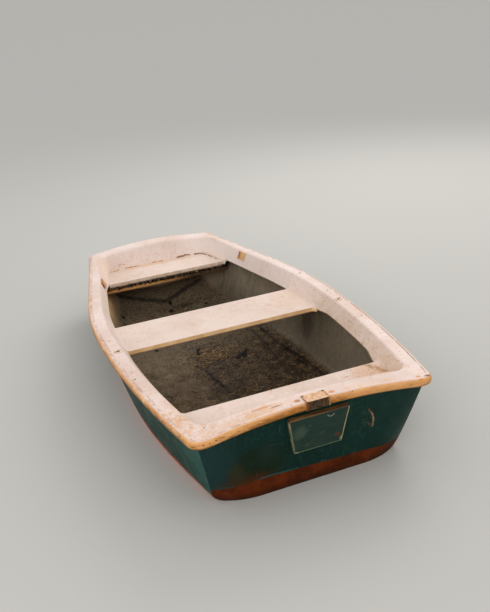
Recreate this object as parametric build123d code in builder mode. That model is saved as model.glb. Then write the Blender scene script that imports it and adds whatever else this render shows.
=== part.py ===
from build123d import *
import math
import os

# Small glass-fibre pram dinghy, 2.4 m, with a flat transom at each end.
# Millimetres. +Y is forward, +X is starboard, +Z is up.
# The origin is on the centreline, amidships, on the waterline.

os.makedirs("parts", exist_ok=True)

# ---------------------------------------------------------------- dimensions
Y_STERN = -1205.0        # outer edge of the deck at the stern
Y_BOW = 1200.0           # outer edge of the deck at the bow
Y_MAX = -100.0           # widest place
HB_MAX = 579.0           # half breadth there, to the outer edge of the deck
R_AFT = 5459.0           # plan radius of the gunwale abaft the widest place
R_FWD = 2456.0           # plan radius forward of it
ARC_FWD = 450.0          # how far forward that arc runs before it is straight

Z_RIM = 355.0            # top of the gunwale
T_DECK = 5.0             # deck moulding
Z_HULL = Z_RIM - T_DECK  # top edge of the hull shell
T_HULL = 5.0             # hull laminate
T_TRANSOM = 10.0

R_STERN_CORNER = 30.0    # plan corners of the deck
R_BOW_CORNER = 58.0

RIM_SIDE = 53.0          # flat of the gunwale, sides
RIM_END = 85.0           # and across the two ends
WALL_ANGLE = 30.0        # inner face of the gunwale from the vertical
TAN_W = math.tan(math.radians(WALL_ANGLE))
T_WALL = 5.8             # inner face, measured level
R_WELL_STERN = 72.0      # corners of the well at the gunwale's top
R_WELL_BOW = 78.0
Z_LIP = 272.0            # lower edge of the inner face along the wells
R_FWD_RIM = 2600.0       # inner edge of the gunwale forward, straighter than its outer edge
R_FWD_LIP = 2800.0       # lower edge of the inner face forward, straighter still
Z_BOWWALL = 246.0        # and at the bow seat
Z_WELL_TOP = 402.0

CROWN_STERN = 38.0       # rise of the stern's top in the middle
CROWN_STERN_HW = 420.0
CROWN_BOW = 22.0
CROWN_BOW_HW = 318.0

STRAKE_T = 18.0          # rubbing strake
STRAKE_H = 36.0
STRAKE_R_TOP = 12.0      # rounding of its outer edges
STRAKE_R_LOW = 9.0
Z_STRAKE = Z_RIM - 2.0   # its top

Z_THWART = 280.0
THWART_AFT = -193.0
THWART_FWD = 116.0
Z_STERNSEAT = 287.0
STERNSEAT_FWD = -888.0
Z_BOWSEAT = 261.0
BOWSEAT_AFT = 830.0
T_SEAT = 5.0
LIP = 24.0               # turned-down edges of the seats
GLUE = 0.4               # bond gap round a seat
BEAM_Z = 202.0           # wooden beam under the bow seat: bottom, batten, thickness
BATTEN_H = 17.0
BEAM_T = 22.0
BEAM_TOP = Z_BOWSEAT - T_SEAT - GLUE

STERN_RAKE = 0.208       # forward per mm down
QUARTER_R = 280.0        # the transom curves forward into the sides by this radius,
QUARTER_HI = 392.0       # from this far out at the gunwale
QUARTER_LO = 190.0       # and from this far out at z = -60
BOW_RAKE = 0.36          # aft per mm down

KEEL_W = 28.0
RUNNER_X = 290.0
RUNNER_W = 22.0

PAD_TOP_HW = 123.0       # outboard motor pad
PAD_BOT_HW = 97.0
PAD_Z_TOP = 338.0
PAD_Z_BOT = 176.0
PAD_T = 20.0

PLATE_X0, PLATE_X1 = -52.0, 42.0    # metal clamp plate over the stern's top
PLATE_T = 2.5
PLATE_IN = -1172.0
PLATE_DROP = 34.0

EYE_X, EYE_Z0, EYE_Z1 = 216.0, 208.0, 270.0   # mooring U-bolt
EYE_D = 8.0
EYE_OUT = 34.0

ROWLOCK_X, ROWLOCK_Y = 542.0, -337.0
ROWLOCK_BORE = 16.4
ROWLOCK_BARREL = 24.0
ROWLOCK_FLANGE = 38.0
ROWLOCK_LEN = 52.0


# ------------------------------------------------------------- plan outlines
def outline(off, ys, yb, rs, rb, r_fwd=R_FWD):
    """Deck outline, set in by off at the sides, from ys to yb, with corner
    radii rs at the stern and rb at the bow."""
    c1x, c2x = HB_MAX - R_AFT, HB_MAX - r_fwd
    r1, r2 = R_AFT - off, r_fwd - off
    phi = math.asin(ARC_FWD / r_fwd)

    def on_aft(y):
        return (c1x + math.sqrt(r1 ** 2 - (y - Y_MAX) ** 2), y)

    def on_fwd(a):
        return (c2x + r2 * math.cos(a), Y_MAX + r2 * math.sin(a))

    p0, p1, p2 = on_aft(ys), (HB_MAX - off, Y_MAX), on_fwd(phi)
    p3 = (p2[0] - (yb - p2[1]) * math.tan(phi), yb)
    with BuildSketch(mode=Mode.PRIVATE) as s:
        with BuildLine():
            Line((0, ys), p0)
            ThreePointArc(p0, on_aft((ys + Y_MAX) / 2), p1)
            ThreePointArc(p1, on_fwd(phi / 2), p2)
            Line(p2, p3)
            Line(p3, (0, yb))
            mirror(about=Plane.YZ)
        make_face()
        for y, x, r in ((ys, p0[0], rs), (yb, p3[0], rb)):
            corners = [v for v in s.vertices() if abs(v.Y - y) < 0.1 and abs(abs(v.X) - x) < 0.1]
            fillet(corners, r)
    return s.sketch


def deck_edge(off=0.0):
    return outline(off, Y_STERN + off, Y_BOW - off, R_STERN_CORNER - off, R_BOW_CORNER - off)


def forward_radius(z):
    """Radius of the well's forward arc at height z."""
    down = (Z_RIM - z) / (Z_RIM - Z_LIP)
    return 1 / ((1 - down) / R_FWD_RIM + down / R_FWD_LIP)


def well_edge(z, extra=0.0):
    """Outline of the well at height z, widened by extra."""
    d = (Z_RIM - z) * TAN_W - extra
    return outline(RIM_SIDE + d, Y_STERN + RIM_END + d, Y_BOW - RIM_END - d,
                   R_WELL_STERN - d, R_WELL_BOW - d, forward_radius(z))


def well_side(y, z):
    """Half breadth of the well at height z, on its straight run to the bow."""
    r = forward_radius(z)
    phi = math.asin(ARC_FWD / r)
    d = RIM_SIDE + (Z_RIM - z) * TAN_W
    x2, y2 = HB_MAX - r + (r - d) * math.cos(phi), Y_MAX + (r - d) * math.sin(phi)
    return x2 - (y - y2) * math.tan(phi)


def well_levels(z0, z1, extra=0.0):
    """The well's outlines at two heights, between which its sides slope."""
    return [Plane.XY.offset(z) * well_edge(z, extra) for z in (z0, z1)]


def block(y0, y1, z0, z1, mode, x0=-800.0, x1=800.0):
    with BuildSketch(Plane.XY.offset(z0), mode=Mode.PRIVATE) as s:
        with Locations(((x0 + x1) / 2, (y0 + y1) / 2)):
            Rectangle(x1 - x0, y1 - y0)
    extrude(s.sketch, amount=z1 - z0, mode=mode)


# ------------------------------------------------------------------ the hull
# y at the top edge, rake, half breadth, side slope, chine z, keel z, bilge radius
SECTIONS = [
    (Y_STERN - 60.0, -STERN_RAKE, 448.8, 0.223, 12.4, -8.4, 43.0),    # cut back to the transom below
    (-700.0, 0.0, 547.5, 0.260, -22.0, -58.0, 62.0),
    (-100.0, 0.0, 580.5, 0.270, -34.0, -72.0, 72.0),
    (500.0, 0.0, 511.5, 0.320, -6.0, -50.0, 70.0),
    (Y_BOW, BOW_RAKE, 383.5, 0.450, 104.0, 86.0, 50.0),
]


def hull_sections(t=0.0, up=0.0):
    """All the sections, set in by t and raised by up at the top."""
    sections = []
    for i, (y, rake, hb, slope, zc, zk, r) in enumerate(SECTIONS):
        k = math.sqrt(1 + rake ** 2)
        end = -T_HULL * k if t and i == len(SECTIONS) - 1 else 0.0
        m = (zc - zk) / (hb - slope * (Z_HULL - zc))
        hb_t = hb - t * math.sqrt(1 + slope ** 2)
        zk_t = zk + t * math.sqrt(1 + m ** 2)
        x_c = (hb_t - slope * (Z_HULL - zk_t)) / (1 - slope * m)
        z_c = zk_t + m * x_c
        x_top = hb_t + slope * up
        a = (x_top, up * k)
        corner = (x_c, (z_c - Z_HULL) * k)
        b = (0, (zk_t - Z_HULL) * k)
        plane = Plane(origin=(0, y + end, Z_HULL), x_dir=(1, 0, 0), z_dir=(0, -1, rake))
        with BuildSketch(plane, mode=Mode.PRIVATE) as s:
            with BuildLine():
                Line((0, up * k), a)
                FilletPolyline(a, corner, b, radius=r - t)
                mirror(about=Plane.YZ)
            make_face()
        sections.append(s.sketch)
    return sections


def crown(hw, z0, z1, rise):
    """Face between two heights whose top is arched by rise."""
    with BuildSketch(mode=Mode.PRIVATE) as s:
        with BuildLine():
            Line((-hw, z1), (-hw, z0))
            Line((-hw, z0), (hw, z0))
            Line((hw, z0), (hw, z1))
            ThreePointArc((hw, z1), (0, z1 + rise), (-hw, z1))
        make_face()
    return s.sketch


def stern_curve(z, inset=0.0):
    """Plan at height z of all that lies forward of the transom's outer face."""
    y = Y_STERN + (Z_HULL - z) * STERN_RAKE + inset
    a = QUARTER_LO + (QUARTER_HI - QUARTER_LO) * (z + 60.0) / (Z_HULL + 60.0)
    r = QUARTER_R - inset
    m = math.radians(29)
    with BuildSketch(mode=Mode.PRIVATE) as s:
        with BuildLine():
            Line((0, y), (a, y))
            ThreePointArc((a, y), (a + r * math.sin(m), y + r * (1 - math.cos(m))), (a + r * math.sin(2 * m), y + r * (1 - math.cos(2 * m))))
            Line((a + r * math.sin(2 * m), y + r * (1 - math.cos(2 * m))), (a + r * math.sin(2 * m) + 60, y + 300))
            Line((a + r * math.sin(2 * m) + 60, y + 300), (a + 500, 1800))
            Line((a + 500, 1800), (0, 1800))
            mirror(about=Plane.YZ)
        make_face()
    return Plane.XY.offset(z) * s.sketch


with BuildPart() as stern_limit:
    loft([stern_curve(-160.0), stern_curve(440.0)], ruled=True)

with BuildPart() as stern_limit_inside:
    inset = T_TRANSOM * math.sqrt(1 + STERN_RAKE ** 2)
    loft([stern_curve(-160.0, inset), stern_curve(440.0, inset)], ruled=True)

with BuildPart() as hull_form:
    loft(hull_sections())
    add(stern_limit.part, mode=Mode.INTERSECT)

with BuildPart() as hull_inside:
    loft(hull_sections(T_HULL, 30.0))
    add(stern_limit_inside.part, mode=Mode.INTERSECT)

with BuildPart() as hull_shell:
    with BuildSketch(Plane.XY.offset(-300)):
        add(deck_edge())
    extrude(amount=300 + Z_HULL)
    add(hull_form.part, mode=Mode.INTERSECT)
    add(hull_inside.part, mode=Mode.SUBTRACT)
    # both transoms rise under the arched tops
    with BuildSketch(Plane.XZ.offset(-Y_STERN)):
        add(crown(CROWN_STERN_HW - 2, Z_HULL - 0.5, Z_HULL - GLUE, CROWN_STERN))
    extrude(amount=-T_TRANSOM)
    with BuildSketch(Plane.XZ.offset(-Y_BOW)):
        add(crown(CROWN_BOW_HW - 2, Z_HULL - 0.5, Z_HULL - GLUE, CROWN_BOW))
    extrude(amount=T_HULL)
    # holes for the mooring U-bolt's legs
    for z in (EYE_Z0, EYE_Z1):
        with BuildSketch(Plane(origin=(0, Y_STERN, Z_HULL), x_dir=(1, 0, 0), z_dir=(0, -1, -STERN_RAKE))):
            with Locations((EYE_X, (z - Z_HULL) * math.sqrt(1 + STERN_RAKE ** 2))):
                Circle(EYE_D / 2 + 0.4)
        extrude(amount=30, both=True, mode=Mode.SUBTRACT)
hull_shell.part.label = "hull_shell"

# ------------------------------------------------------------ deck moulding
with BuildPart() as well_space:
    loft(well_levels(240.0, Z_WELL_TOP), ruled=True)

with BuildPart() as deck_top:
    with BuildSketch(Plane.XY.offset(200)):
        add(deck_edge())
    extrude(amount=Z_RIM - 200)
    with BuildSketch(Plane.XZ.offset(-Y_STERN)):
        add(crown(CROWN_STERN_HW, Z_HULL, Z_RIM, CROWN_STERN))
    extrude(amount=-160)
    with BuildSketch(Plane.XZ.offset(-Y_BOW)):
        add(crown(CROWN_BOW_HW, Z_HULL, Z_RIM, CROWN_BOW))
    extrude(amount=160)

with BuildPart() as deck_below:
    with BuildSketch(Plane.XY.offset(190)):
        add(deck_edge())
    extrude(amount=Z_HULL - 190)
    with BuildSketch(Plane.XZ.offset(-Y_STERN)):
        add(crown(CROWN_STERN_HW, Z_HULL - 5, Z_HULL, CROWN_STERN))
    extrude(amount=-160)
    with BuildSketch(Plane.XZ.offset(-Y_BOW)):
        add(crown(CROWN_BOW_HW, Z_HULL - 5, Z_HULL, CROWN_BOW))
    extrude(amount=160)

with BuildPart() as well_walls:
    loft(well_levels(Z_BOWWALL, Z_WELL_TOP, T_WALL), ruled=True)
    add(deck_top.part, mode=Mode.INTERSECT)

with BuildPart() as deck_moulding:
    add(deck_top.part)
    add(deck_below.part, mode=Mode.SUBTRACT)
    add(well_walls.part)
    add(well_space.part, mode=Mode.SUBTRACT)
    block(-1500, BOWSEAT_AFT - 12, 200, Z_LIP, Mode.SUBTRACT)
    with BuildSketch(Plane.XY.offset(Z_HULL - 1)):
        with Locations((ROWLOCK_X, ROWLOCK_Y), (-ROWLOCK_X, ROWLOCK_Y)):
            Circle(ROWLOCK_BARREL / 2 + 0.3)
    extrude(amount=T_DECK + 2, mode=Mode.SUBTRACT)
deck_moulding.part.label = "deck_moulding"

# ------------------------------------------------------------------- seats
with BuildPart() as centre_thwart:
    loft(well_levels(Z_THWART - LIP, Z_THWART, -GLUE), ruled=True)
    block(-1500, THWART_AFT, 200, 300, Mode.SUBTRACT)
    block(THWART_FWD, 1500, 200, 300, Mode.SUBTRACT)
    block(THWART_AFT + T_SEAT, THWART_FWD - T_SEAT, 200, Z_THWART - T_SEAT, Mode.SUBTRACT)
centre_thwart.part.label = "centre_thwart"

with BuildPart() as stern_seat:
    loft(well_levels(Z_STERNSEAT - LIP, Z_STERNSEAT, -GLUE), ruled=True)
    block(STERNSEAT_FWD, 1500, 200, 300, Mode.SUBTRACT)
    block(-1500, STERNSEAT_FWD - T_SEAT, 200, Z_STERNSEAT - T_SEAT, Mode.SUBTRACT)
stern_seat.part.label = "stern_seat"

with BuildPart() as bow_seat:
    loft(well_levels(Z_BOWSEAT - LIP, Z_BOWSEAT, -GLUE), ruled=True)
    block(-1500, BOWSEAT_AFT, 200, 300, Mode.SUBTRACT)
    block(BOWSEAT_AFT + T_SEAT, 1500, 200, Z_BOWSEAT - T_SEAT, Mode.SUBTRACT)
bow_seat.part.label = "bow_seat"

with BuildPart() as bow_seat_beam:
    # a batten along the bottom and a thinner board standing on it
    y0 = BOWSEAT_AFT + T_SEAT + GLUE
    with BuildSketch(Plane.YZ.offset(-500)):
        with BuildLine():
            Polyline((y0, BEAM_Z), (y0 + BEAM_T, BEAM_Z), (y0 + BEAM_T, BEAM_TOP), (y0 + 9, BEAM_TOP),
                     (y0 + 9, BEAM_Z + BATTEN_H), (y0, BEAM_Z + BATTEN_H), close=True)
        make_face()
    extrude(amount=1000)
    add(hull_inside.part, mode=Mode.INTERSECT)
    for side in (-1, 1):
        x0, x1 = sorted((side * 320, side * 600))
        block(0, 1500, Z_BOWWALL - 1.0, 300, Mode.SUBTRACT, x0, x1)
bow_seat_beam.part.label = "bow_seat_beam"

# ---------------------------------------------------------- rubbing strakes
with BuildPart() as strake_ring:
    with BuildSketch(Plane.XY.offset(Z_STRAKE - STRAKE_H)):
        add(deck_edge(-STRAKE_T))
        add(deck_edge(), mode=Mode.SUBTRACT)
    extrude(amount=STRAKE_H)
    block(Y_STERN - 40, Y_STERN, 250, 400, Mode.SUBTRACT, -CROWN_STERN_HW, CROWN_STERN_HW)
    block(Y_BOW, Y_BOW + 40, 250, 400, Mode.SUBTRACT, -CROWN_BOW_HW, CROWN_BOW_HW)


def arched_strake(hw, rise):
    z0, z1 = Z_STRAKE - STRAKE_H, Z_STRAKE
    with BuildSketch(mode=Mode.PRIVATE) as s:
        with BuildLine():
            Line((-hw, z1), (-hw, z0))
            ThreePointArc((-hw, z0), (0, z0 + rise), (hw, z0))
            Line((hw, z0), (hw, z1))
            ThreePointArc((hw, z1), (0, z1 + rise), (-hw, z1))
        make_face()
    return s.sketch


with BuildPart() as strake_whole:
    add(strake_ring.part)
    with BuildSketch(Plane.XZ.offset(-Y_STERN)):
        add(arched_strake(CROWN_STERN_HW, CROWN_STERN))
    extrude(amount=STRAKE_T)
    with BuildSketch(Plane.XZ.offset(-Y_BOW)):
        add(arched_strake(CROWN_BOW_HW, CROWN_BOW))
    extrude(amount=-STRAKE_T)
    rim_face = deck_edge()

    def out_from_rim(e):
        c = e.position_at(0.5)
        return rim_face.distance_to(Vertex(c.X, c.Y, 0))

    def is_upper(e):
        c = e.position_at(0.5)
        if abs(c.X) < CROWN_STERN_HW and c.Y < Y_STERN:
            return c.Z > Z_STRAKE - STRAKE_H / 2 + CROWN_STERN
        if abs(c.X) < CROWN_BOW_HW and c.Y > Y_BOW:
            return c.Z > Z_STRAKE - STRAKE_H / 2 + CROWN_BOW
        return c.Z > Z_STRAKE - STRAKE_H / 2 + 0.5

    def along(e):
        return abs((e @ 0).Z - (e @ 1).Z) < 8

    fillet([e for e in strake_whole.edges() if out_from_rim(e) > STRAKE_T - 1 and along(e) and is_upper(e)],
           STRAKE_R_TOP)
    fillet([e for e in strake_whole.edges() if out_from_rim(e) > STRAKE_T - 0.5 and along(e) and not is_upper(e)
            and e.position_at(0.5).Z < Z_STRAKE - STRAKE_H + max(CROWN_STERN, CROWN_BOW) + 1],
           STRAKE_R_LOW)

with BuildPart() as strake_port:
    add(strake_whole.part)
    split(bisect_by=Plane.YZ.offset(-0.2), keep=Keep.BOTTOM)
strake_port.part.label = "strake_port"

with BuildPart() as strake_starboard:
    add(strake_whole.part)
    split(bisect_by=Plane.YZ.offset(0.2), keep=Keep.TOP)
strake_starboard.part.label = "strake_starboard"

# -------------------------------------------------- keel and bilge runners
with BuildPart() as keel:
    with BuildSketch(Plane.YZ.offset(-KEEL_W / 2)):
        with BuildLine():
            Polyline((-1128, 20), (-1118, -104), (-250, -104), (350, -88), (760, -20), (760, 20), close=True)
        make_face()
    extrude(amount=KEEL_W)
    add(hull_form.part, mode=Mode.SUBTRACT)
keel.part.label = "keel"

RUNNERS = (("bilge_runner_port", -RUNNER_X), ("bilge_runner_starboard", RUNNER_X))
runners = {}
for name, x in RUNNERS:
    with BuildPart() as runner:
        with BuildSketch(Plane.YZ.offset(x - RUNNER_W / 2)):
            with BuildLine():
                Polyline((-820, 20), (-800, -56), (-300, -68), (150, -62), (430, -20), (430, 20), close=True)
            make_face()
        extrude(amount=RUNNER_W)
        add(hull_form.part, mode=Mode.SUBTRACT)
    runner.part.label = name
    runners[name] = runner.part

# ------------------------------------------------------------ stern fittings
TRANSOM = Plane(origin=(0, Y_STERN, Z_HULL), x_dir=(1, 0, 0), z_dir=(0, -1, -STERN_RAKE))
K_STERN = math.sqrt(1 + STERN_RAKE ** 2)


def on_transom(z):
    return (z - Z_HULL) * K_STERN


with BuildPart() as motor_pad:
    with BuildSketch(TRANSOM) as s:
        with BuildLine():
            Polyline((-PAD_TOP_HW, on_transom(PAD_Z_TOP)), (PAD_TOP_HW, on_transom(PAD_Z_TOP)),
                     (PAD_BOT_HW, on_transom(PAD_Z_BOT)), (-PAD_BOT_HW, on_transom(PAD_Z_BOT)), close=True)
        make_face()
        fillet(s.vertices(), 6)
    extrude(amount=PAD_T)
    chamfer(motor_pad.faces().sort_by(Axis.Y)[0].edges(), 2.5)
motor_pad.part.label = "motor_pad"

Z_PLATE = Z_RIM + CROWN_STERN + 0.1
Y_STRAKE = Y_STERN - STRAKE_T
with BuildPart() as clamp_plate:
    with BuildSketch(Plane.YZ.offset(PLATE_X0)):
        with BuildLine():
            Polyline((PLATE_IN, Z_PLATE), (Y_STRAKE - 0.4, Z_PLATE), (Y_STRAKE - 0.4, Z_PLATE - PLATE_DROP),
                     (Y_STRAKE - 0.4 - PLATE_T, Z_PLATE - PLATE_DROP), (Y_STRAKE - 0.4 - PLATE_T, Z_PLATE + PLATE_T),
                     (PLATE_IN, Z_PLATE + PLATE_T), close=True)
        make_face()
    extrude(amount=PLATE_X1 - PLATE_X0)
    bend = clamp_plate.edges().filter_by(Axis.X).filter_by_position(Axis.Z, Z_PLATE + 1, Z_PLATE + 5).sort_by(Axis.Y)[0]
    fillet(bend, 2.2)
clamp_plate.part.label = "clamp_plate"

with BuildPart() as mooring_eye:
    u0, u1 = on_transom(EYE_Z0), on_transom(EYE_Z1)
    eye_plane = Plane(origin=TRANSOM.from_local_coords((EYE_X, 0, 0)), x_dir=TRANSOM.y_dir, z_dir=TRANSOM.x_dir)
    # in this plane x runs up the transom and y runs out of it
    with BuildLine(eye_plane) as path:
        FilletPolyline((u0, -22), (u0, EYE_OUT), (u1, EYE_OUT), (u1, -22), radius=20)
    with BuildSketch(Plane(origin=path.line @ 0, z_dir=path.line % 0)):
        Circle(EYE_D / 2)
    sweep(path=path.line)
mooring_eye.part.label = "mooring_eye"

with BuildPart() as eye_backing:
    inner = TRANSOM.offset(-T_TRANSOM - 0.3)
    with BuildSketch(inner):
        with Locations((EYE_X, (u0 + u1) / 2)):
            RectangleRounded(36, 100, 6)
        with Locations((EYE_X, u0), (EYE_X, u1)):
            Circle(EYE_D / 2 + 0.3, mode=Mode.SUBTRACT)
    extrude(amount=-4)
    with BuildSketch(inner.offset(-4)):
        with Locations((EYE_X, u0), (EYE_X, u1)):
            RegularPolygon(7.5, 6)
            Circle(EYE_D / 2 + 0.3, mode=Mode.SUBTRACT)
    extrude(amount=-6)
eye_backing.part.label = "eye_backing"

# ------------------------------------------------------------------ rowlocks
ROWLOCKS = (("rowlock_socket_port", -ROWLOCK_X), ("rowlock_socket_starboard", ROWLOCK_X))
sockets = {}
for name, x in ROWLOCKS:
    with BuildPart() as socket:
        with BuildSketch(Plane.XY.offset(Z_RIM)):
            with Locations((x, ROWLOCK_Y)):
                Circle(ROWLOCK_FLANGE / 2)
        extrude(amount=3)
        chamfer(socket.faces().sort_by(Axis.Z)[-1].edges(), 1.2)
        with BuildSketch(Plane.XY.offset(Z_RIM + 3 - ROWLOCK_LEN)):
            with Locations((x, ROWLOCK_Y)):
                Circle(ROWLOCK_BARREL / 2)
        extrude(amount=ROWLOCK_LEN - 2)
        with BuildSketch(Plane.XY.offset(Z_RIM + 3 - ROWLOCK_LEN)):
            with Locations((x, ROWLOCK_Y)):
                Circle(ROWLOCK_BORE / 2)
        extrude(amount=ROWLOCK_LEN + 1, mode=Mode.SUBTRACT)
    socket.part.label = name
    sockets[name] = socket.part

# ------------------------------------------- small wooden cheeks by the bow seat
CHEEK_L, CHEEK_H, CHEEK_T = 70.0, 46.0, 5.0
cheeks = {}
for name, side, cheek_y, cheek_z in (("cheek_port", -1, 695.0, 323.0), ("cheek_starboard", 1, 655.0, 328.0)):
    # on the inner face of the gunwale, which slopes in and closes towards the bow
    x_face = well_side(cheek_y, cheek_z)
    run_y = well_side(cheek_y + 1, cheek_z) - x_face
    run_z = well_side(cheek_y, cheek_z + 1) - x_face
    face = Plane(origin=(side * x_face, cheek_y, cheek_z), x_dir=(side * run_y, 1, 0),
                 z_dir=(-side, run_y, run_z))
    with BuildPart() as cheek:
        with BuildSketch(face.offset(0.2)):
            Rectangle(CHEEK_L, CHEEK_H)
            with Locations((-16, 6), (14, 8)):
                Circle(3.0, mode=Mode.SUBTRACT)
        extrude(amount=CHEEK_T)
    cheek.part.label = name
    cheeks[name] = cheek.part

# -------------------------------------------------------------------- bow eye
BOW = Plane(origin=(0, Y_BOW, Z_HULL), x_dir=(1, 0, 0), z_dir=(0, -1, BOW_RAKE))
K_BOW = math.sqrt(1 + BOW_RAKE ** 2)
with BuildPart() as bow_eye:
    b0, b1 = (196.0 - Z_HULL) * K_BOW, (238.0 - Z_HULL) * K_BOW
    with BuildSketch(BOW.offset(-0.2)):
        with Locations((0, (b0 + b1) / 2)):
            RectangleRounded(30, 78, 6)
    extrude(amount=-4)
    bow_plane = Plane(origin=BOW.from_local_coords((0, 0, 0)), x_dir=BOW.y_dir, z_dir=BOW.x_dir)
    with BuildLine(bow_plane) as path:
        FilletPolyline((b0, -2), (b0, -32), (b1, -32), (b1, -2), radius=17)
    with BuildSketch(Plane(origin=path.line @ 0, z_dir=path.line % 0)):
        Circle(4.0)
    sweep(path=path.line)
bow_eye.part.label = "bow_eye"

# --------------------------------------------------------------------- write
PIECES = {
    "hull_shell": hull_shell.part,
    "deck_moulding": deck_moulding.part,
    "centre_thwart": centre_thwart.part,
    "stern_seat": stern_seat.part,
    "bow_seat": bow_seat.part,
    "bow_seat_beam": bow_seat_beam.part,
    "strake_port": strake_port.part,
    "strake_starboard": strake_starboard.part,
    "keel": keel.part,
    "motor_pad": motor_pad.part,
    "clamp_plate": clamp_plate.part,
    "mooring_eye": mooring_eye.part,
    "eye_backing": eye_backing.part,
    "bow_eye": bow_eye.part,
    **runners, **sockets, **cheeks,
}
for name, piece in PIECES.items():
    piece.label = name
    export_step(piece, f"parts/{name}.step")
    bb = piece.bounding_box()
    print(f"{name:26s} solids {len(piece.solids())} volume {piece.volume / 1000:9.1f} cm3 "
          f"x {bb.min.X:7.1f} {bb.max.X:7.1f} y {bb.min.Y:7.1f} {bb.max.Y:7.1f} z {bb.min.Z:7.1f} {bb.max.Z:7.1f}")
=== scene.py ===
import math
import random

import bmesh
import bpy
import numpy as np
from mathutils import Matrix, Vector, noise


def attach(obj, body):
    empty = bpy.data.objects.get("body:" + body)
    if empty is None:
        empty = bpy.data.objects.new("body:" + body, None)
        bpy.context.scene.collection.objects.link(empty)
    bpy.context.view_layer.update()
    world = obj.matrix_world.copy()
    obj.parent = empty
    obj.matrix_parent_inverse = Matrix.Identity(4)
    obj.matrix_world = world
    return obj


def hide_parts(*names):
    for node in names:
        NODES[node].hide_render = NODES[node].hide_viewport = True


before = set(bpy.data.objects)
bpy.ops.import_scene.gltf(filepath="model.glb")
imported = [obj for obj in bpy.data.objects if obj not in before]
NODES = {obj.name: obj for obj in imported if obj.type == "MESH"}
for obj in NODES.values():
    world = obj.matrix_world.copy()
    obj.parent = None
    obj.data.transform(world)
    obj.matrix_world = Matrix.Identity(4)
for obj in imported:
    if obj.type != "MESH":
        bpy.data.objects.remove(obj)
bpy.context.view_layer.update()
rng = random.Random(11)

# ----------------------------------------------------------------- outline
# Metres. The same plan outline as the solids: a long arc abaft the widest
# place, a shorter one forward of it, then straight to the bow.
Y_STERN, Y_BOW, Y_MAX, HB = -1.205, 1.200, -0.100, 0.579
R_AFT, R_FWD, ARC_FWD = 5.459, 2.456, 0.450
R_FWD_RIM, R_FWD_LIP = 2.600, 2.800
Z_RIM, TAN_W = 0.355, math.tan(math.radians(30))
RIM_SIDE, RIM_END = 0.053, 0.085
WALL = 0.0058
Z_LIP, Z_BOWWALL = 0.272, 0.246
Z_THWART, THWART_AFT, THWART_FWD = 0.280, -0.193, 0.116
Z_STERNSEAT, STERNSEAT_FWD = 0.287, -0.888
Z_BOWSEAT, BOWSEAT_AFT = 0.261, 0.830
STERN_RAKE, BOW_RAKE = 0.208, 0.36


def half_outline(off, ys, yb, rs, rb, step, r_fwd=R_FWD):
    """Points and outward normals of the starboard half, from the stern's middle to the bow's."""
    c1x, c2x = HB - R_AFT, HB - r_fwd
    r1, r2 = R_AFT - off, r_fwd - off
    phi = math.asin(ARC_FWD / r_fwd)
    pts = []
    xc = c1x + math.sqrt((r1 - rs) ** 2 - (ys + rs - Y_MAX) ** 2)
    cs = (xc, ys + rs)
    d = math.hypot(cs[0] - c1x, cs[1] - Y_MAX)
    ang = math.atan2(cs[1] - Y_MAX, cs[0] - c1x)
    t1 = ang
    n = max(2, int(xc / step))
    for i in range(n):
        pts.append((xc * i / n, ys, 0.0, -1.0))
    n = max(6, int(rs * (math.pi / 2) / (step * 0.6)))
    a0, a1 = -math.pi / 2, t1
    for i in range(n):
        a = a0 + (a1 - a0) * i / n
        pts.append((cs[0] + rs * math.cos(a), cs[1] + rs * math.sin(a), math.cos(a), math.sin(a)))
    n = max(2, int(abs(t1) * r1 / step))
    for i in range(n):
        a = t1 * (1 - i / n)
        pts.append((c1x + r1 * math.cos(a), Y_MAX + r1 * math.sin(a), math.cos(a), math.sin(a)))
    n = max(2, int(phi * r2 / step))
    for i in range(n):
        a = phi * i / n
        pts.append((c2x + r2 * math.cos(a), Y_MAX + r2 * math.sin(a), math.cos(a), math.sin(a)))
    p2 = (c2x + r2 * math.cos(phi), Y_MAX + r2 * math.sin(phi))
    yc = yb - rb
    xb = p2[0] - (rb + math.sin(phi) * (yc - p2[1])) / math.cos(phi)
    e = (xb + rb * math.cos(phi), yc + rb * math.sin(phi))
    length = math.hypot(e[0] - p2[0], e[1] - p2[1])
    n = max(2, int(length / step))
    for i in range(n):
        t = i / n
        pts.append((p2[0] + (e[0] - p2[0]) * t, p2[1] + (e[1] - p2[1]) * t, math.cos(phi), math.sin(phi)))
    n = max(6, int(rb * (math.pi / 2 - phi) / (step * 0.6)))
    for i in range(n):
        a = phi + (math.pi / 2 - phi) * i / n
        pts.append((xb + rb * math.cos(a), yc + rb * math.sin(a), math.cos(a), math.sin(a)))
    n = max(2, int(xb / step))
    for i in range(n + 1):
        pts.append((xb * (1 - i / n), yb, 0.0, 1.0))
    return pts


def well_loop(step=0.009, cuts=()):
    """The closed well outline at the rim's height: (x, y, nx, ny), starboard half then port."""
    halves = []
    for rb in (0.078, 0.100):
        half = half_outline(RIM_SIDE, Y_STERN + RIM_END, Y_BOW - RIM_END, 0.072, rb, step, R_FWD_RIM)
        for yc in cuts:
            for i in range(len(half) - 1):
                a, b = half[i], half[i + 1]
                if a[1] < yc < b[1] and a[2] > 0.5:
                    t = (yc - a[1]) / (b[1] - a[1])
                    half.insert(i + 1, tuple(a[k] + (b[k] - a[k]) * t for k in range(4)))
                    break
        halves.append(half)
    port = [(-x, y, -nx, ny) for x, y, nx, ny in reversed(halves[1][1:-1])]
    return halves[0] + port


def rim_loop(step=0.006):
    half = half_outline(0.0, Y_STERN, Y_BOW, 0.030, 0.064, step)
    port = half_outline(0.0, Y_STERN, Y_BOW, 0.030, 0.082, step)
    return half + [(-x, y, -nx, ny) for x, y, nx, ny in reversed(port[1:-1])]


def smooth(v, lo, hi):
    u = min(1.0, max(0.0, (v - lo) / (hi - lo)))
    return u * u * (3 - 2 * u)


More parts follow.
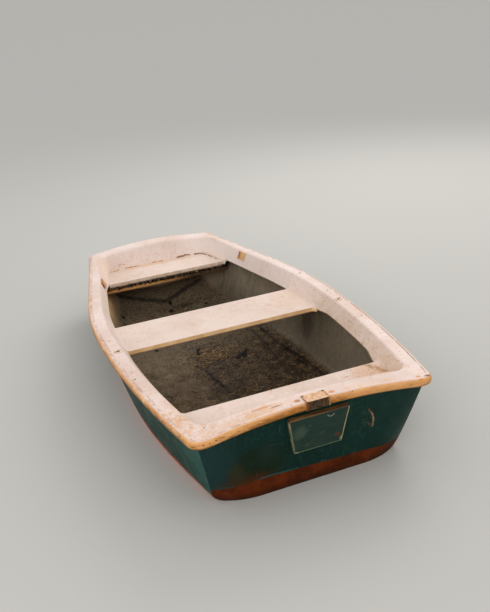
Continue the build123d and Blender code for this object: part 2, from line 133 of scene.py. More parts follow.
def wall_tan(x, y, ny=0.0):
    """Slope of the inner face: a little steeper forward, and more so at port between
    the thwart and the bow seat."""
    t = max(0.0, y - Y_MAX)
    s = t * t / 2 if t < ARC_FWD else ARC_FWD ** 2 / 2 + ARC_FWD * (t - ARC_FWD)
    k = s * (1 / R_FWD_RIM - 1 / R_FWD_LIP) / (Z_RIM - Z_LIP) * (1 - smooth(ny, 0.30, 0.95))
    if x < 0:
        k += 0.16 * smooth(y, 0.05, 0.42) * (1 - smooth(y, 0.70, 0.80))
    return TAN_W - k


def lip_rise(y):
    """The inner face's lower edge is cut higher between the seats of the after well."""
    return 0.0145 * smooth(y, -0.875, -0.755) * (1 - smooth(y, -0.345, -0.195))


def arch(x, y):
    """Rise of the deck's top over the rim's level at the two arched ends."""
    def cap(hw, rise):
        r = (hw * hw + rise * rise) / (2 * rise)
        if abs(x) > hw + 0.03:
            return 0.0
        h = math.sqrt(r * r - x * x) - (r - rise)
        return 0.5 * (h + math.sqrt(h * h + 0.0008 ** 2)) - 0.0
    if y < -1.0:
        return cap(0.420, 0.038)
    if y > 1.0:
        return cap(0.318, 0.022)
    return 0.0


# ------------------------------------------------------------- mesh helpers
def make_object(name, verts, faces, mat=None, smooth=True, angle=None, body="root"):
    me = bpy.data.meshes.new(name)
    me.from_pydata([tuple(v) for v in verts], [], faces)
    bm = bmesh.new()
    bm.from_mesh(me)
    bmesh.ops.recalc_face_normals(bm, faces=bm.faces)
    bm.to_mesh(me)
    bm.free()
    ob = bpy.data.objects.new(name, me)
    bpy.context.scene.collection.objects.link(ob)
    if mat is not None:
        me.materials.append(mat)
    if smooth:
        me.shade_smooth()
        if angle is not None:
            me.set_sharp_from_angle(angle=math.radians(angle))
    if body:
        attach(ob, body)
    return ob


def skin(node, mat, bevel=0.0, segments=2, angle=32, weld=2e-5):
    """A welded copy of a CAD node with softened edges, shown in its place."""
    me = NODES[node].data.copy()
    me.name = node + "_skin"
    for a in ("custom_normal", "sharp_edge", "sharp_face"):
        if a in me.attributes:
            me.attributes.remove(me.attributes[a])
    bm = bmesh.new()
    bm.from_mesh(me)
    bmesh.ops.remove_doubles(bm, verts=bm.verts, dist=weld)
    bmesh.ops.dissolve_degenerate(bm, dist=1e-6, edges=bm.edges)
    bmesh.ops.recalc_face_normals(bm, faces=bm.faces)
    bm.to_mesh(me)
    bm.free()
    ob = bpy.data.objects.new(node + "_skin", me)
    bpy.context.scene.collection.objects.link(ob)
    me.materials.clear()
    me.materials.append(mat)
    me.shade_smooth()
    me.set_sharp_from_angle(angle=math.radians(angle))
    if bevel:
        md = ob.modifiers.new("soft_edges", "BEVEL")
        md.width = bevel
        md.segments = segments
        md.limit_method = "ANGLE"
        md.angle_limit = math.radians(angle)
        md.miter_outer = "MITER_ARC"
        md.harden_normals = False
    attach(ob, "root")
    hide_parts(node)
    return ob


def sweep_closed(rings, closed_loop):
    """Faces between rings of equal length; each ring is a closed profile."""
    n, m = len(rings), len(rings[0])
    verts = [p for r in rings for p in r]
    faces = []
    last = n if closed_loop else n - 1
    for i in range(last):
        j = (i + 1) % n
        for k in range(m):
            l = (k + 1) % m
            faces.append((i * m + k, i * m + l, j * m + l, j * m + k))
    if not closed_loop:
        faces.append(tuple(range(m))[::-1])
        faces.append(tuple((n - 1) * m + k for k in range(m)))
    return verts, faces


# ------------------------------------------------------------ node helpers
def srgb(r, g, b, a=1.0):
    def f(u):
        u /= 255.0
        return u / 12.92 if u <= 0.04045 else ((u + 0.055) / 1.055) ** 2.4
    return (f(r), f(g), f(b), a)


class Mat:
    """A node material built by calls; positions are in the object's own metres."""

    def __init__(self, name, rough=0.5):
        self.m = bpy.data.materials.new(name)
        self.m.use_nodes = True
        self.t = self.m.node_tree
        self.t.nodes.clear()
        self.out = self.t.nodes.new("ShaderNodeOutputMaterial")
        self.b = self.t.nodes.new("ShaderNodeBsdfPrincipled")
        self.b.inputs["Roughness"].default_value = rough
        self.t.links.new(self.b.outputs[0], self.out.inputs[0])
        tc = self.t.nodes.new("ShaderNodeTexCoord")
        self.pos = tc.outputs["Object"]
        geo = self.t.nodes.new("ShaderNodeNewGeometry")
        self.n = geo.outputs["Normal"]
        self.x, self.y, self.z = self.split(self.pos)
        self.nx, self.ny, self.nz = self.split(self.n)
        self.bumps = []

    def split(self, v):
        s = self.t.nodes.new("ShaderNodeSeparateXYZ")
        self.t.links.new(v, s.inputs[0])
        return s.outputs[0], s.outputs[1], s.outputs[2]

    def put(self, sock, v):
        if isinstance(v, bpy.types.NodeSocket):
            self.t.links.new(v, sock)
        elif isinstance(v, (tuple, list)) and sock.type == "RGBA" and len(v) == 3:
            sock.default_value = (*v, 1.0)
        else:
            sock.default_value = v

    def op(self, kind, a, b=None, c=None, clamp=False):
        n = self.t.nodes.new("ShaderNodeMath")
        n.operation = kind
        n.use_clamp = clamp
        self.put(n.inputs[0], a)
        if b is not None:
            self.put(n.inputs[1], b)
        if c is not None:
            self.put(n.inputs[2], c)
        return n.outputs[0]

    def mul(self, *a):
        r = a[0]
        for v in a[1:]:
            r = self.op("MULTIPLY", r, v)
        return r

    def add(self, *a):
        r = a[0]
        for v in a[1:]:
            r = self.op("ADD", r, v)
        return r

    def sub(self, a, b):
        return self.op("SUBTRACT", a, b)

    def inv(self, a):
        return self.op("SUBTRACT", 1.0, a)

    def high(self, a, b):
        return self.op("MAXIMUM", a, b)

    def ramp(self, v, lo, hi, a=0.0, b=1.0, smooth=True):
        n = self.t.nodes.new("ShaderNodeMapRange")
        n.interpolation_type = "SMOOTHSTEP" if smooth else "LINEAR"
        n.clamp = True
        self.put(n.inputs["Value"], v)
        for k, u in zip(("From Min", "From Max", "To Min", "To Max"), (lo, hi, a, b)):
            self.put(n.inputs[k], u)
        return n.outputs[0]

    def mix(self, f, a, b):
        n = self.t.nodes.new("ShaderNodeMix")
        n.data_type = "RGBA"
        n.clamp_factor = True
        self.put(n.inputs[0], f)
        self.put(n.inputs[6], a)
        self.put(n.inputs[7], b)
        return n.outputs[2]

    def scaled(self, sx, sy, sz, rot=(0, 0, 0), off=(0, 0, 0)):
        n = self.t.nodes.new("ShaderNodeMapping")
        self.t.links.new(self.pos, n.inputs["Vector"])
        n.inputs["Scale"].default_value = (sx, sy, sz)
        n.inputs["Rotation"].default_value = rot
        n.inputs["Location"].default_value = off
        return n.outputs[0]

    def noise(self, scale, detail=4.0, rough=0.55, dist=0.0, vec=None):
        n = self.t.nodes.new("ShaderNodeTexNoise")
        self.t.links.new(vec or self.pos, n.inputs["Vector"])
        n.inputs["Scale"].default_value = scale
        n.inputs["Detail"].default_value = detail
        n.inputs["Roughness"].default_value = rough
        n.inputs["Distortion"].default_value = dist
        return n.outputs[0]

    def cells(self, scale, vec=None, feature="F1", rand=1.0, out="Distance"):
        n = self.t.nodes.new("ShaderNodeTexVoronoi")
        n.feature = feature
        self.t.links.new(vec or self.pos, n.inputs["Vector"])
        n.inputs["Scale"].default_value = scale
        n.inputs["Randomness"].default_value = rand
        return n.outputs[out]

    def dots(self, scale, size, share, vec=None):
        """Sparse round spots: a share of the cells has one, of that size in cells."""
        n = self.t.nodes.new("ShaderNodeTexVoronoi")
        self.t.links.new(vec or self.pos, n.inputs["Vector"])
        n.inputs["Scale"].default_value = scale
        d = self.ramp(n.outputs["Distance"], size * 0.6, size, 1.0, 0.0)
        r, g, b = self.split(n.outputs["Color"])
        return self.mul(d, self.op("LESS_THAN", r, share))

    def blob(self, c, r, wobble=0.0, scale=20.0, soft=0.35):
        """1 inside an ellipsoid round c, fading to 0 at its edge."""
        n = self.t.nodes.new("ShaderNodeMapping")
        n.vector_type = "POINT"
        self.t.links.new(self.pos, n.inputs["Vector"])
        n.inputs["Location"].default_value = tuple(-ci / ri for ci, ri in zip(c, r))
        n.inputs["Scale"].default_value = tuple(1 / ri for ri in r)
        ln = self.t.nodes.new("ShaderNodeVectorMath")
        ln.operation = "LENGTH"
        self.t.links.new(n.outputs[0], ln.inputs[0])
        d = ln.outputs["Value"]
        if wobble:
            d = self.add(d, self.mul(self.sub(self.noise(scale, 5.0, 0.65), 0.5), wobble * 2))
        return self.ramp(d, 1.0 - soft, 1.0, 1.0, 0.0)

    def line(self, pts, r, wobble=0.0, scale=40.0, soft=0.5):
        """1 along a polyline in plan (x, y), fading out at the distance r from it."""
        best = None
        for (ax, ay), (bx, by) in zip(pts, pts[1:]):
            dx, dy = bx - ax, by - ay
            l2 = dx * dx + dy * dy
            px, py = self.sub(self.x, ax), self.sub(self.y, ay)
            h = self.op("ADD", self.mul(px, dx / l2), self.mul(py, dy / l2), clamp=True)
            ex, ey = self.sub(px, self.mul(h, dx)), self.sub(py, self.mul(h, dy))
            d = self.op("SQRT", self.add(self.mul(ex, ex), self.mul(ey, ey)))
            best = d if best is None else self.op("MINIMUM", best, d)
        d = self.mul(best, 1.0 / r)
        if wobble:
            d = self.add(d, self.mul(self.sub(self.noise(scale, 4.0, 0.65), 0.5), wobble * 2))
        return self.ramp(d, 1.0 - soft, 1.0, 1.0, 0.0)

    def crevice(self, dist, samples=6):
        n = self.t.nodes.new("ShaderNodeAmbientOcclusion")
        n.samples = samples
        n.inputs["Distance"].default_value = dist
        return n.outputs["AO"]

    def bump(self, h, dist):
        self.bumps.append((h, dist))

    def finish(self, color, rough=None, spec=None, metal=None, coat=None):
        self.put(self.b.inputs["Base Color"], color)
        if rough is not None:
            self.put(self.b.inputs["Roughness"], rough)
        if metal is not None:
            self.put(self.b.inputs["Metallic"], metal)
        if spec is not None:
            self.b.inputs["Specular IOR Level"].default_value = spec
        if coat is not None:
            self.b.inputs["Coat Weight"].default_value = coat[0]
            self.b.inputs["Coat Roughness"].default_value = coat[1]
        prev = None
        for h, dist in self.bumps:
            n = self.t.nodes.new("ShaderNodeBump")
            n.inputs["Strength"].default_value = 1.0
            n.inputs["Distance"].default_value = dist
            self.put(n.inputs["Height"], h)
            if prev is not None:
                self.t.links.new(prev, n.inputs["Normal"])
            prev = n.outputs[0]
        if prev is not None:
            self.t.links.new(prev, self.b.inputs["Normal"])
        return self.m


# --------------------------------------------------------------- materials
def cream_base(k, light=(232, 215, 209), dark=(216, 194, 183)):
    """Chalky, weathered cream gelcoat: soft clouds, stains, fine specks."""
    big = k.noise(2.6, 4.0, 0.6)
    mid = k.noise(13.0, 6.0, 0.65)
    col = k.mix(k.ramp(big, 0.35, 0.68), srgb(*light), srgb(*dark))
    col = k.mix(k.mul(k.ramp(mid, 0.52, 0.74), 0.32), col, srgb(205, 172, 150))
    pale = k.ramp(k.noise(21.0, 5.0, 0.6), 0.56, 0.70)
    col = k.mix(k.mul(pale, 0.35), col, srgb(240, 224, 214))
    stain = k.ramp(k.noise(5.2, 7.0, 0.7, 0.6), 0.60, 0.72)
    col = k.mix(k.mul(stain, 0.30), col, srgb(206, 158, 118))
    fine = k.ramp(k.noise(120.0, 4.0, 0.7), 0.56, 0.68)
    col = k.mix(k.mul(fine, k.ramp(mid, 0.38, 0.62), 0.50), col, srgb(178, 132, 98))
    dab = k.ramp(k.noise(60.0, 5.0, 0.7), 0.60, 0.68)
    col = k.mix(k.mul(dab, k.ramp(big, 0.40, 0.58), 0.45), col, srgb(206, 150, 110))
    scr = k.ramp(k.noise(1.0, 3.0, 0.6, 0.0, k.scaled(16.0, 210.0, 60.0, (0.0, 0.0, 0.25))), 0.66, 0.72)
    col = k.mix(k.mul(scr, k.ramp(big, 0.45, 0.6), 0.35), col, srgb(196, 146, 110))
    specks = k.dots(190.0, 0.20, 0.10)
    col = k.mix(k.mul(specks, 0.70), col, srgb(112, 78, 52))
    spots = k.dots(46.0, 0.085, 0.14)
    col = k.mix(k.mul(spots, 0.8), col, srgb(92, 62, 40))
    mott = k.ramp(k.noise(44.0, 5.0, 0.75), 0.44, 0.60)
    col = k.mix(k.mul(mott, 0.16), col, srgb(206, 168, 144))
    nick = k.mul(k.dots(30.0, 0.14, 0.16), k.ramp(k.noise(90.0, 4.0, 0.7), 0.42, 0.52))
    col = k.mix(k.mul(nick, 0.6), col, srgb(170, 112, 74))
    return col, big, mid


def mat_deck():
    k = Mat("deck_gelcoat_aged")
    col, big, mid = cream_base(k)
    # dirt and painted shade: grime lies in the corners and at the foot of the sloping faces, found by ambient occlusion
    ao = k.crevice(0.035)
    crevice_grime_and_shade = k.mul(k.ramp(ao, 0.30, 0.80, 1.0, 0.0), k.ramp(k.noise(24.0, 6.0, 0.7), 0.40, 0.62))
    col = k.mix(k.mul(crevice_grime_and_shade, 0.36), col, srgb(140, 104, 72))
    # the sloping faces take a golden tint, browner on the starboard quarter
    slope = k.mul(k.ramp(k.nz, 0.2, 0.85, 1.0, 0.0), k.ramp(k.noise(30.0, 6.0, 0.7), 0.35, 0.65, 0.2, 1.0))
    quarter = k.mul(k.ramp(k.x, 0.0, 0.3), k.ramp(k.y, 0.1, -0.6))
    col = k.mix(k.mul(slope, k.add(0.18, k.mul(quarter, 0.52))), col, srgb(216, 188, 146))
    freckle = k.mul(k.ramp(k.nz, 0.80, 0.95, 1.0, 0.0), k.ramp(k.x, 0.1, 0.3), k.dots(84.0, 0.25, 0.55), k.ramp(k.noise(7.0, 4.0, 0.7), 0.36, 0.52), k.ramp(k.y, 0.4, -0.1))
    col = k.mix(k.mul(freckle, 0.9), col, srgb(132, 92, 54))
    low = k.mul(k.ramp(k.z, 0.345, 0.275), k.ramp(k.noise(26.0, 6.0, 0.7), 0.42, 0.62), k.ramp(k.y, 0.4, -0.4))
    col = k.mix(k.mul(low, 0.32), col, srgb(200, 160, 124))
    # painted light: the port side's inner face, which faces +x, is made paler, more so forward
    port_face_painted_light = k.mul(k.ramp(k.nz, 0.3, 0.8, 1.0, 0.0), k.ramp(k.nx, 0.2, 0.6), k.ramp(k.y, -0.2, 0.5))
    col = k.mix(k.mul(port_face_painted_light, 0.7), col, srgb(250, 230, 214))
    # painted light: the starboard inner face is made paler forward
    clear = k.mul(k.ramp(k.nz, 0.3, 0.8, 1.0, 0.0), k.ramp(k.x, 0.1, 0.25), k.ramp(k.y, 0.25, 0.8))
    col = k.mix(k.mul(clear, 0.7), col, srgb(238, 226, 220))
    # brown water marks on the stern recess and the bow's back
    rec = k.mul(k.blob((0.40, -1.02, 0.30), (0.12, 0.16, 0.06), 0.5, 30.0), k.ramp(k.noise(60.0, 6.0, 0.7), 0.40, 0.60, 0.35, 1.0))
    col = k.mix(k.mul(rec, 0.26), col, srgb(192, 150, 106))
    bow = k.mul(k.blob((0.0, 1.10, 0.285), (0.36, 0.05, 0.040), 0.6, 26.0), k.ramp(k.noise(48.0, 6.0, 0.7), 0.50, 0.66))
    col = k.mix(k.mul(bow, 0.35), col, srgb(196, 138, 90))
    # vertical run marks on the bow's sloping back
    runs = k.ramp(k.noise(1.0, 4.0, 0.6, 0.2, k.scaled(70.0, 8.0, 8.0)), 0.54, 0.68)
    runs = k.mul(runs, k.ramp(k.y, 1.04, 1.07), k.ramp(k.nz, 0.3, 0.85, 1.0, 0.0))
    col = k.mix(k.mul(runs, 0.22), col, srgb(200, 158, 124))
    # tint on the outer half of the stern's rim
    st = k.mul(k.ramp(k.y, -1.165, -1.205), k.ramp(k.noise(18.0, 5.0, 0.65), 0.42, 0.62))
    col = k.mix(k.mul(st, k.ramp(k.x, -0.10, -0.30, 0.5, 0.8)), col, srgb(222, 174, 124))
    # tan stain and specks on the port quarter
    pq = k.mul(k.blob((-0.45, -1.06, 0.356), (0.16, 0.26, 0.03), 0.6, 12.0, 0.8), k.ramp(k.noise(34.0, 6.0, 0.75), 0.42, 0.60))
    col = k.mix(k.mul(pq, 0.78), col, srgb(212, 160, 112))
    sq = k.mul(k.blob((-0.22, -1.17, 0.38), (0.24, 0.05, 0.05), 0.6, 14.0, 0.8), k.ramp(k.noise(38.0, 6.0, 0.75), 0.44, 0.60))
    col = k.mix(k.mul(sq, 0.55), col, srgb(216, 166, 118))
    qs = k.mul(k.blob((-0.46, -0.98, 0.356), (0.14, 0.34, 0.03), 0.3, 12.0, 0.6), k.dots(85.0, 0.17, 0.34))
    col = k.mix(k.mul(qs, 0.8), col, srgb(104, 66, 38))
    # spots beside the clamp plate, on the port quarter and round the rim
    for c, r, tone, f in (((0.062, -1.196, 0.39), (0.018, 0.014, 0.02), (206, 128, 46), 0.85),
                          ((-0.072, -1.194, 0.39), (0.016, 0.014, 0.02), (160, 98, 42), 0.8),
                          ((-0.200, -1.165, 0.385), (0.060, 0.010, 0.02), (204, 144, 84), 0.75),
                          ((-0.150, -1.185, 0.385), (0.030, 0.006, 0.02), (128, 80, 40), 0.7),
                          ((-0.382, -1.111, 0.357), (0.005, 0.005, 0.01), (120, 78, 44), 0.85),
                          ((-0.409, -1.141, 0.357), (0.005, 0.005, 0.01), (120, 78, 44), 0.85),
                          ((0.424, -1.198, 0.357), (0.014, 0.010, 0.02), (216, 132, 48), 0.85),
                          ((0.313, 0.695, 0.355), (0.012, 0.006, 0.01), (92, 62, 44), 0.8),
                          ((0.545, 0.108, 0.355), (0.012, 0.006, 0.01), (150, 60, 40), 0.85)):
        col = k.mix(k.mul(k.blob(c, r, 0.35, 90.0, 0.6), f), col, srgb(*tone))
    # painted highlight: a pale band along the lower edge of the port side's inner face
    port_lip_highlight = k.mul(k.ramp(k.z, 0.278, 0.2735), k.ramp(k.nx, 0.1, 0.5), k.ramp(k.y, 0.81, 0.80))
    col = k.mix(k.mul(port_lip_highlight, 0.8), col, srgb(252, 238, 226))
    # a crisp dark brown line along the lower edge of the starboard faces, following the edge's rise between the stern
    # seat and the thwart
    rise = k.mul(k.ramp(k.y, -0.875, -0.755), k.ramp(k.y, -0.195, -0.345), 0.0145)
    low_z = k.add(k.sub(k.z, rise), k.mul(k.sub(k.noise(40.0, 5.0, 0.7), 0.5), 0.006))
    starboard_lip_dark_line = k.mul(k.ramp(low_z, 0.2775, 0.2735), k.ramp(k.nx, -0.1, -0.4), k.ramp(k.y, 0.80, 0.74), k.ramp(k.y, -0.89, -0.86))
    col = k.mix(k.mul(starboard_lip_dark_line, 0.75), col, srgb(104, 76, 50))
    flat = k.mul(k.ramp(k.nz, 0.85, 0.97), k.ramp(k.x, 0.36, 0.42), k.ramp(k.y, 0.05, -0.5))
    col = k.mix(k.mul(flat, k.dots(92.0, 0.20, 0.40), 0.7), col, srgb(158, 94, 64))
    col = k.mix(k.mul(flat, k.ramp(k.noise(34.0, 6.0, 0.75), 0.54, 0.64), 0.45), col, srgb(222, 168, 122))
    rough = k.ramp(k.add(k.mul(mid, 0.6), k.mul(big, 0.4)), 0.3, 0.7, 0.46, 0.66)
    k.bump(k.noise(520.0, 3.0, 0.6), 0.00025)
    k.bump(k.noise(34.0, 4.0, 0.6), 0.0012)
    return k.finish(col, rough, 0.30)


def mat_seat():
    k = Mat("seat_gelcoat_aged")
    col, big, mid = cream_base(k, (224, 207, 197), (211, 191, 179))
    # worn, scuffed top
    scuff = k.ramp(k.noise(9.0, 6.0, 0.7, 0.0, k.scaled(1.0, 5.0, 1.0)), 0.58, 0.70)
    col = k.mix(k.mul(scuff, 0.28), col, srgb(210, 172, 144))
    # turned-down edges: golden tan on the thwart, partly dirt and partly painted warm light on its shaded lip, paler on
    # the bow seat
    edge = k.ramp(k.nz, 0.25, 0.70, 1.0, 0.0)
    tan = k.mix(k.ramp(k.noise(16.0, 5.0), 0.35, 0.65), srgb(255, 212, 156), srgb(236, 186, 128))
    # painted shade: the turned-down edges go dark brown at their lowest few millimetres
    tan = k.mix(k.mul(k.ramp(k.add(k.z, k.mul(k.sub(k.noise(22.0, 5.0), 0.5), 0.003)), 0.2625, 0.2590), 0.85), tan, srgb(96, 64, 34))
    bow_lip = k.mix(k.ramp(k.noise(30.0, 6.0, 0.7), 0.40, 0.62), srgb(238, 216, 198), srgb(216, 186, 158))
    bow_lip = k.mix(k.mul(k.ramp(k.z, 0.250, 0.240), 0.6), bow_lip, srgb(170, 124, 80))
    rag = k.ramp(k.add(k.z, k.mul(k.sub(k.noise(48.0, 6.0, 0.8), 0.5), 0.034)), 0.2436, 0.2414)
    torn = k.mul(rag, k.ramp(k.noise(26.0, 7.0, 0.8, 0.5), 0.40, 0.50, 0.25, 1.0), k.ramp(k.x, 0.30, 0.15, 0.45, 1.0))
    bow_lip = k.mix(k.mul(torn, 0.92), bow_lip, srgb(26, 19, 13))
    tan = k.mix(k.ramp(k.y, 0.5, 0.6), tan, bow_lip)
    col = k.mix(k.mul(edge, 0.9), col, tan)
    flecks = k.mul(k.dots(75.0, 0.13, 0.22), k.ramp(k.noise(3.0, 3.0), 0.45, 0.60))
    col = k.mix(k.mul(flecks, 0.75), col, srgb(120, 82, 52))
    for c, r, tone, f in (((0.336, 0.015, 0.28), (0.020, 0.006, 0.01), (206, 130, 100), 0.85),
                          ((0.360, -0.035, 0.28), (0.024, 0.005, 0.01), (206, 130, 100), 0.85),
                          ((0.292, -0.032, 0.28), (0.034, 0.005, 0.01), (214, 148, 116), 0.85),
                          ((0.25, 0.05, 0.28), (0.012, 0.004, 0.01), (206, 138, 106), 0.8),
                          ((0.40, 0.03, 0.28), (0.016, 0.010, 0.01), (206, 138, 106), 0.75),
                          ((0.33, -0.085, 0.28), (0.040, 0.005, 0.01), (206, 146, 116), 0.75),
                          ((0.225, 0.075, 0.28), (0.030, 0.004, 0.01), (198, 140, 112), 0.7),
                          ((0.42, 0.0, 0.28), (0.120, 0.200, 0.02), (216, 188, 166), 0.45),
                          ((0.221, -0.977, 0.287), (0.010, 0.006, 0.01), (190, 104, 40), 0.85),
                          ((0.252, -0.945, 0.287), (0.012, 0.006, 0.01), (206, 124, 54), 0.85),
                          ((-0.186, -1.06, 0.287), (0.035, 0.012, 0.01), (214, 156, 100), 0.6),
                          ((0.36, -0.98, 0.287), (0.110, 0.130, 0.02), (204, 160, 126), 0.65),
                          ((0.0, 1.045, 0.261), (0.32, 0.03, 0.02), (214, 172, 136), 0.45)):
        col = k.mix(k.mul(k.blob(c, r, 0.45, 70.0, 0.6), f), col, srgb(*tone))
    # brown specks where water has stood at the starboard end of the stern seat
    wet = k.mul(k.blob((0.36, -0.99, 0.287), (0.130, 0.130, 0.03), 0.5, 20.0, 0.8), k.dots(80.0, 0.26, 0.50), k.ramp(k.noise(24.0, 5.0, 0.7), 0.40, 0.52))
    col = k.mix(k.mul(wet, 0.9), col, srgb(128, 80, 44))
    damp = k.line([(0.366, -0.880), (0.390, -0.930), (0.402, -0.985), (0.406, -1.050)], 0.024, 1.0, 46.0, 0.9)
    col = k.mix(k.mul(damp, k.ramp(k.noise(60.0, 6.0, 0.8), 0.40, 0.56), 0.85), col, srgb(150, 104, 44))
    spots = k.mul(k.ramp(k.x, 0.20, 0.30), k.ramp(k.y, -0.85, -0.87), k.ramp(k.noise(18.0, 4.0, 0.7), 0.38, 0.52), k.dots(76.0, 0.27, 0.60))
    col = k.mix(k.mul(spots, 0.9), col, srgb(106, 68, 34))
    # a patch of tiny dark specks on the thwart
    patch = k.mul(k.blob((0.141, 0.042, 0.28), (0.024, 0.012, 0.01), 0.3, 50.0, 0.5), k.dots(260.0, 0.32, 0.7))
    col = k.mix(k.mul(patch, 0.9), col, srgb(84, 58, 44))
    # dirt and painted shade: darker brown where ambient occlusion finds corners, on the upward faces
    ao = k.crevice(0.03)
    crevice_grime_and_shade = k.mul(k.ramp(ao, 0.30, 0.80, 1.0, 0.0), k.ramp(k.noise(28.0, 6.0, 0.7), 0.40, 0.60), k.ramp(k.nz, 0.2, 0.6))
    col = k.mix(k.mul(crevice_grime_and_shade, 0.5), col, srgb(132, 96, 64))
    rough = k.ramp(mid, 0.3, 0.7, 0.46, 0.68)
    k.bump(k.noise(420.0, 3.0, 0.6), 0.0003)
    k.bump(k.noise(26.0, 4.0, 0.6), 0.0014)
    return k.finish(col, rough, 0.30)


def mat_strake():
    k = Mat("strake_weathered")
    cream, big, mid = cream_base(k)
    run = k.noise(1.0, 6.0, 0.65, 0.4, k.scaled(14.0, 14.0, 60.0))
    patch = k.noise(6.0, 5.0, 0.7)
    tan = k.mix(k.ramp(run, 0.35, 0.68), srgb(232, 180, 128), srgb(204, 144, 88))
    brown = k.mix(k.ramp(run, 0.3, 0.7), srgb(176, 118, 50), srgb(120, 76, 30))
    # the normal says how far round the section: 1 on top, 0 on the face, -1 underneath; the cream top, tan face and
    # brown underside are weathering, with painted light on top and painted shade underneath
    stern = k.ramp(k.y, -1.12, -1.21)
    port = k.ramp(k.x, 0.0, -0.4)
    t = k.add(k.nz, k.mul(k.sub(mid, 0.5), 0.35), k.mul(k.sub(run, 0.5), 0.35), k.mul(k.inv(stern), 0.02), k.mul(port, stern, 0.06))
    col = k.mix(k.ramp(t, 0.62, 1.04, 1.0, 0.0), cream, tan)
    clear = k.mul(stern, k.ramp(k.x, 0.06, 0.16), k.ramp(k.x, 0.50, 0.42))
    col = k.mix(k.mul(k.ramp(t, -0.12, 0.58, 1.0, 0.0), k.ramp(patch, 0.30, 0.55, 0.6, 1.0), k.ramp(clear, 0.0, 1.0, 1.0, 0.20)), col, brown)
    left = k.mul(stern, k.ramp(k.x, -0.12, -0.34), k.ramp(t, 0.66, 1.06, 1.0, 0.0), k.ramp(patch, 0.32, 0.50, 0.55, 1.0))
    col = k.mix(k.mul(left, 0.75), col, srgb(226, 164, 98))
    # painted shade: the stern strake's underside goes dark brown
    line = k.mul(k.ramp(k.nz, -0.16, -0.52), stern)
    col = k.mix(k.mul(line, 0.8), col, srgb(66, 42, 20))
    # the stern's face is stained deepest under the clamp plate and beside it
    deep = k.mul(stern, k.ramp(k.op("ABSOLUTE", k.add(k.x, 0.05)), 0.34, 0.10), k.ramp(k.nz, 0.0, 0.75, 1.0, 0.0), k.ramp(patch, 0.36, 0.56, 0.5, 1.0))
    col = k.mix(k.mul(deep, 0.66), col, srgb(182, 114, 32))
    joint = k.mul(k.ramp(k.nz, 0.80, 0.97), k.ramp(k.x, -0.2, -0.3), k.ramp(k.noise(24.0, 6.0, 0.75), 0.46, 0.56))
    col = k.mix(k.mul(joint, 0.6), col, srgb(186, 126, 78))
    # rusty streaks beside the clamp plate
    for cx, w, f in ((-0.085, 0.045, 0.8), (0.074, 0.034, 0.75)):
        rst = k.mul(k.blob((cx, -1.222, 0.372), (w, 0.03, 0.018), 0.7, 40.0, 0.8), k.ramp(k.noise(60.0, 6.0, 0.75), 0.42, 0.56))
        col = k.mix(k.mul(rst, f), col, srgb(*((170, 98, 24) if cx < 0 else (212, 138, 40))))
    gold = k.mul(stern, k.ramp(k.x, 0.06, 0.14), k.ramp(t, 0.30, 0.85, 1.0, 0.0))
    col = k.mix(k.mul(gold, 0.5), col, srgb(226, 160, 92))
    weep = k.noise(1.0, 6.0, 0.72, 0.5, k.scaled(26.0, 26.0, 150.0))
    low = k.ramp(k.add(k.nz, k.mul(k.sub(patch, 0.5), 0.8)), 0.62, 0.12)
    after = k.ramp(k.y, -0.55, -0.95)
    aft = k.mul(after, k.ramp(k.x, 0.20, 0.04, 0.30, 1.0))
    col = k.mix(k.mul(k.ramp(weep, 0.50, 0.60), low, aft, 0.75), col, srgb(116, 72, 28))
    col = k.mix(k.mul(k.ramp(weep, 0.36, 0.44, 1.0, 0.0), low, aft, 0.5), col, srgb(232, 196, 150))
    # pale rubbed patches along the sides
    rub = k.mul(k.inv(stern), k.ramp(k.noise(18.0, 5.0, 0.7), 0.55, 0.66), k.ramp(k.nz, -0.3, 0.3))
    col = k.mix(k.mul(rub, 0.5), col, srgb(240, 218, 200))
    specks = k.high(k.dots(120.0, 0.18, 0.14), k.mul(k.dots(38.0, 0.12, 0.32), 0.9))
    col = k.mix(k.mul(specks, 0.75), col, srgb(90, 58, 34))
    chip = k.mul(k.ramp(k.noise(44.0, 5.0, 0.7), 0.66, 0.70), k.ramp(k.nz, -0.3, 0.6, 1.0, 0.2))
    col = k.mix(k.mul(chip, 0.5), col, srgb(132, 88, 50))
    for c, r, tone in (((-0.441, -1.220, 0.34), (0.005, 0.01, 0.005), (112, 70, 36)),
                       ((-0.395, -1.220, 0.345), (0.005, 0.01, 0.005), (112, 70, 36)),
                       ((0.458, -1.206, 0.354), (0.020, 0.007, 0.006), (70, 44, 26)),
                       ((0.424, -1.220, 0.352), (0.016, 0.010, 0.008), (216, 134, 44))):
        col = k.mix(k.mul(k.blob(c, r, 0.3, 120.0, 0.6), 0.85), col, srgb(*tone))
    rough = k.ramp(mid, 0.3, 0.7, 0.44, 0.64)
    k.bump(k.noise(260.0, 4.0, 0.6), 0.0004)
    k.bump(k.noise(30.0, 4.0, 0.6), 0.0015)
    return k.finish(col, rough, 0.30)


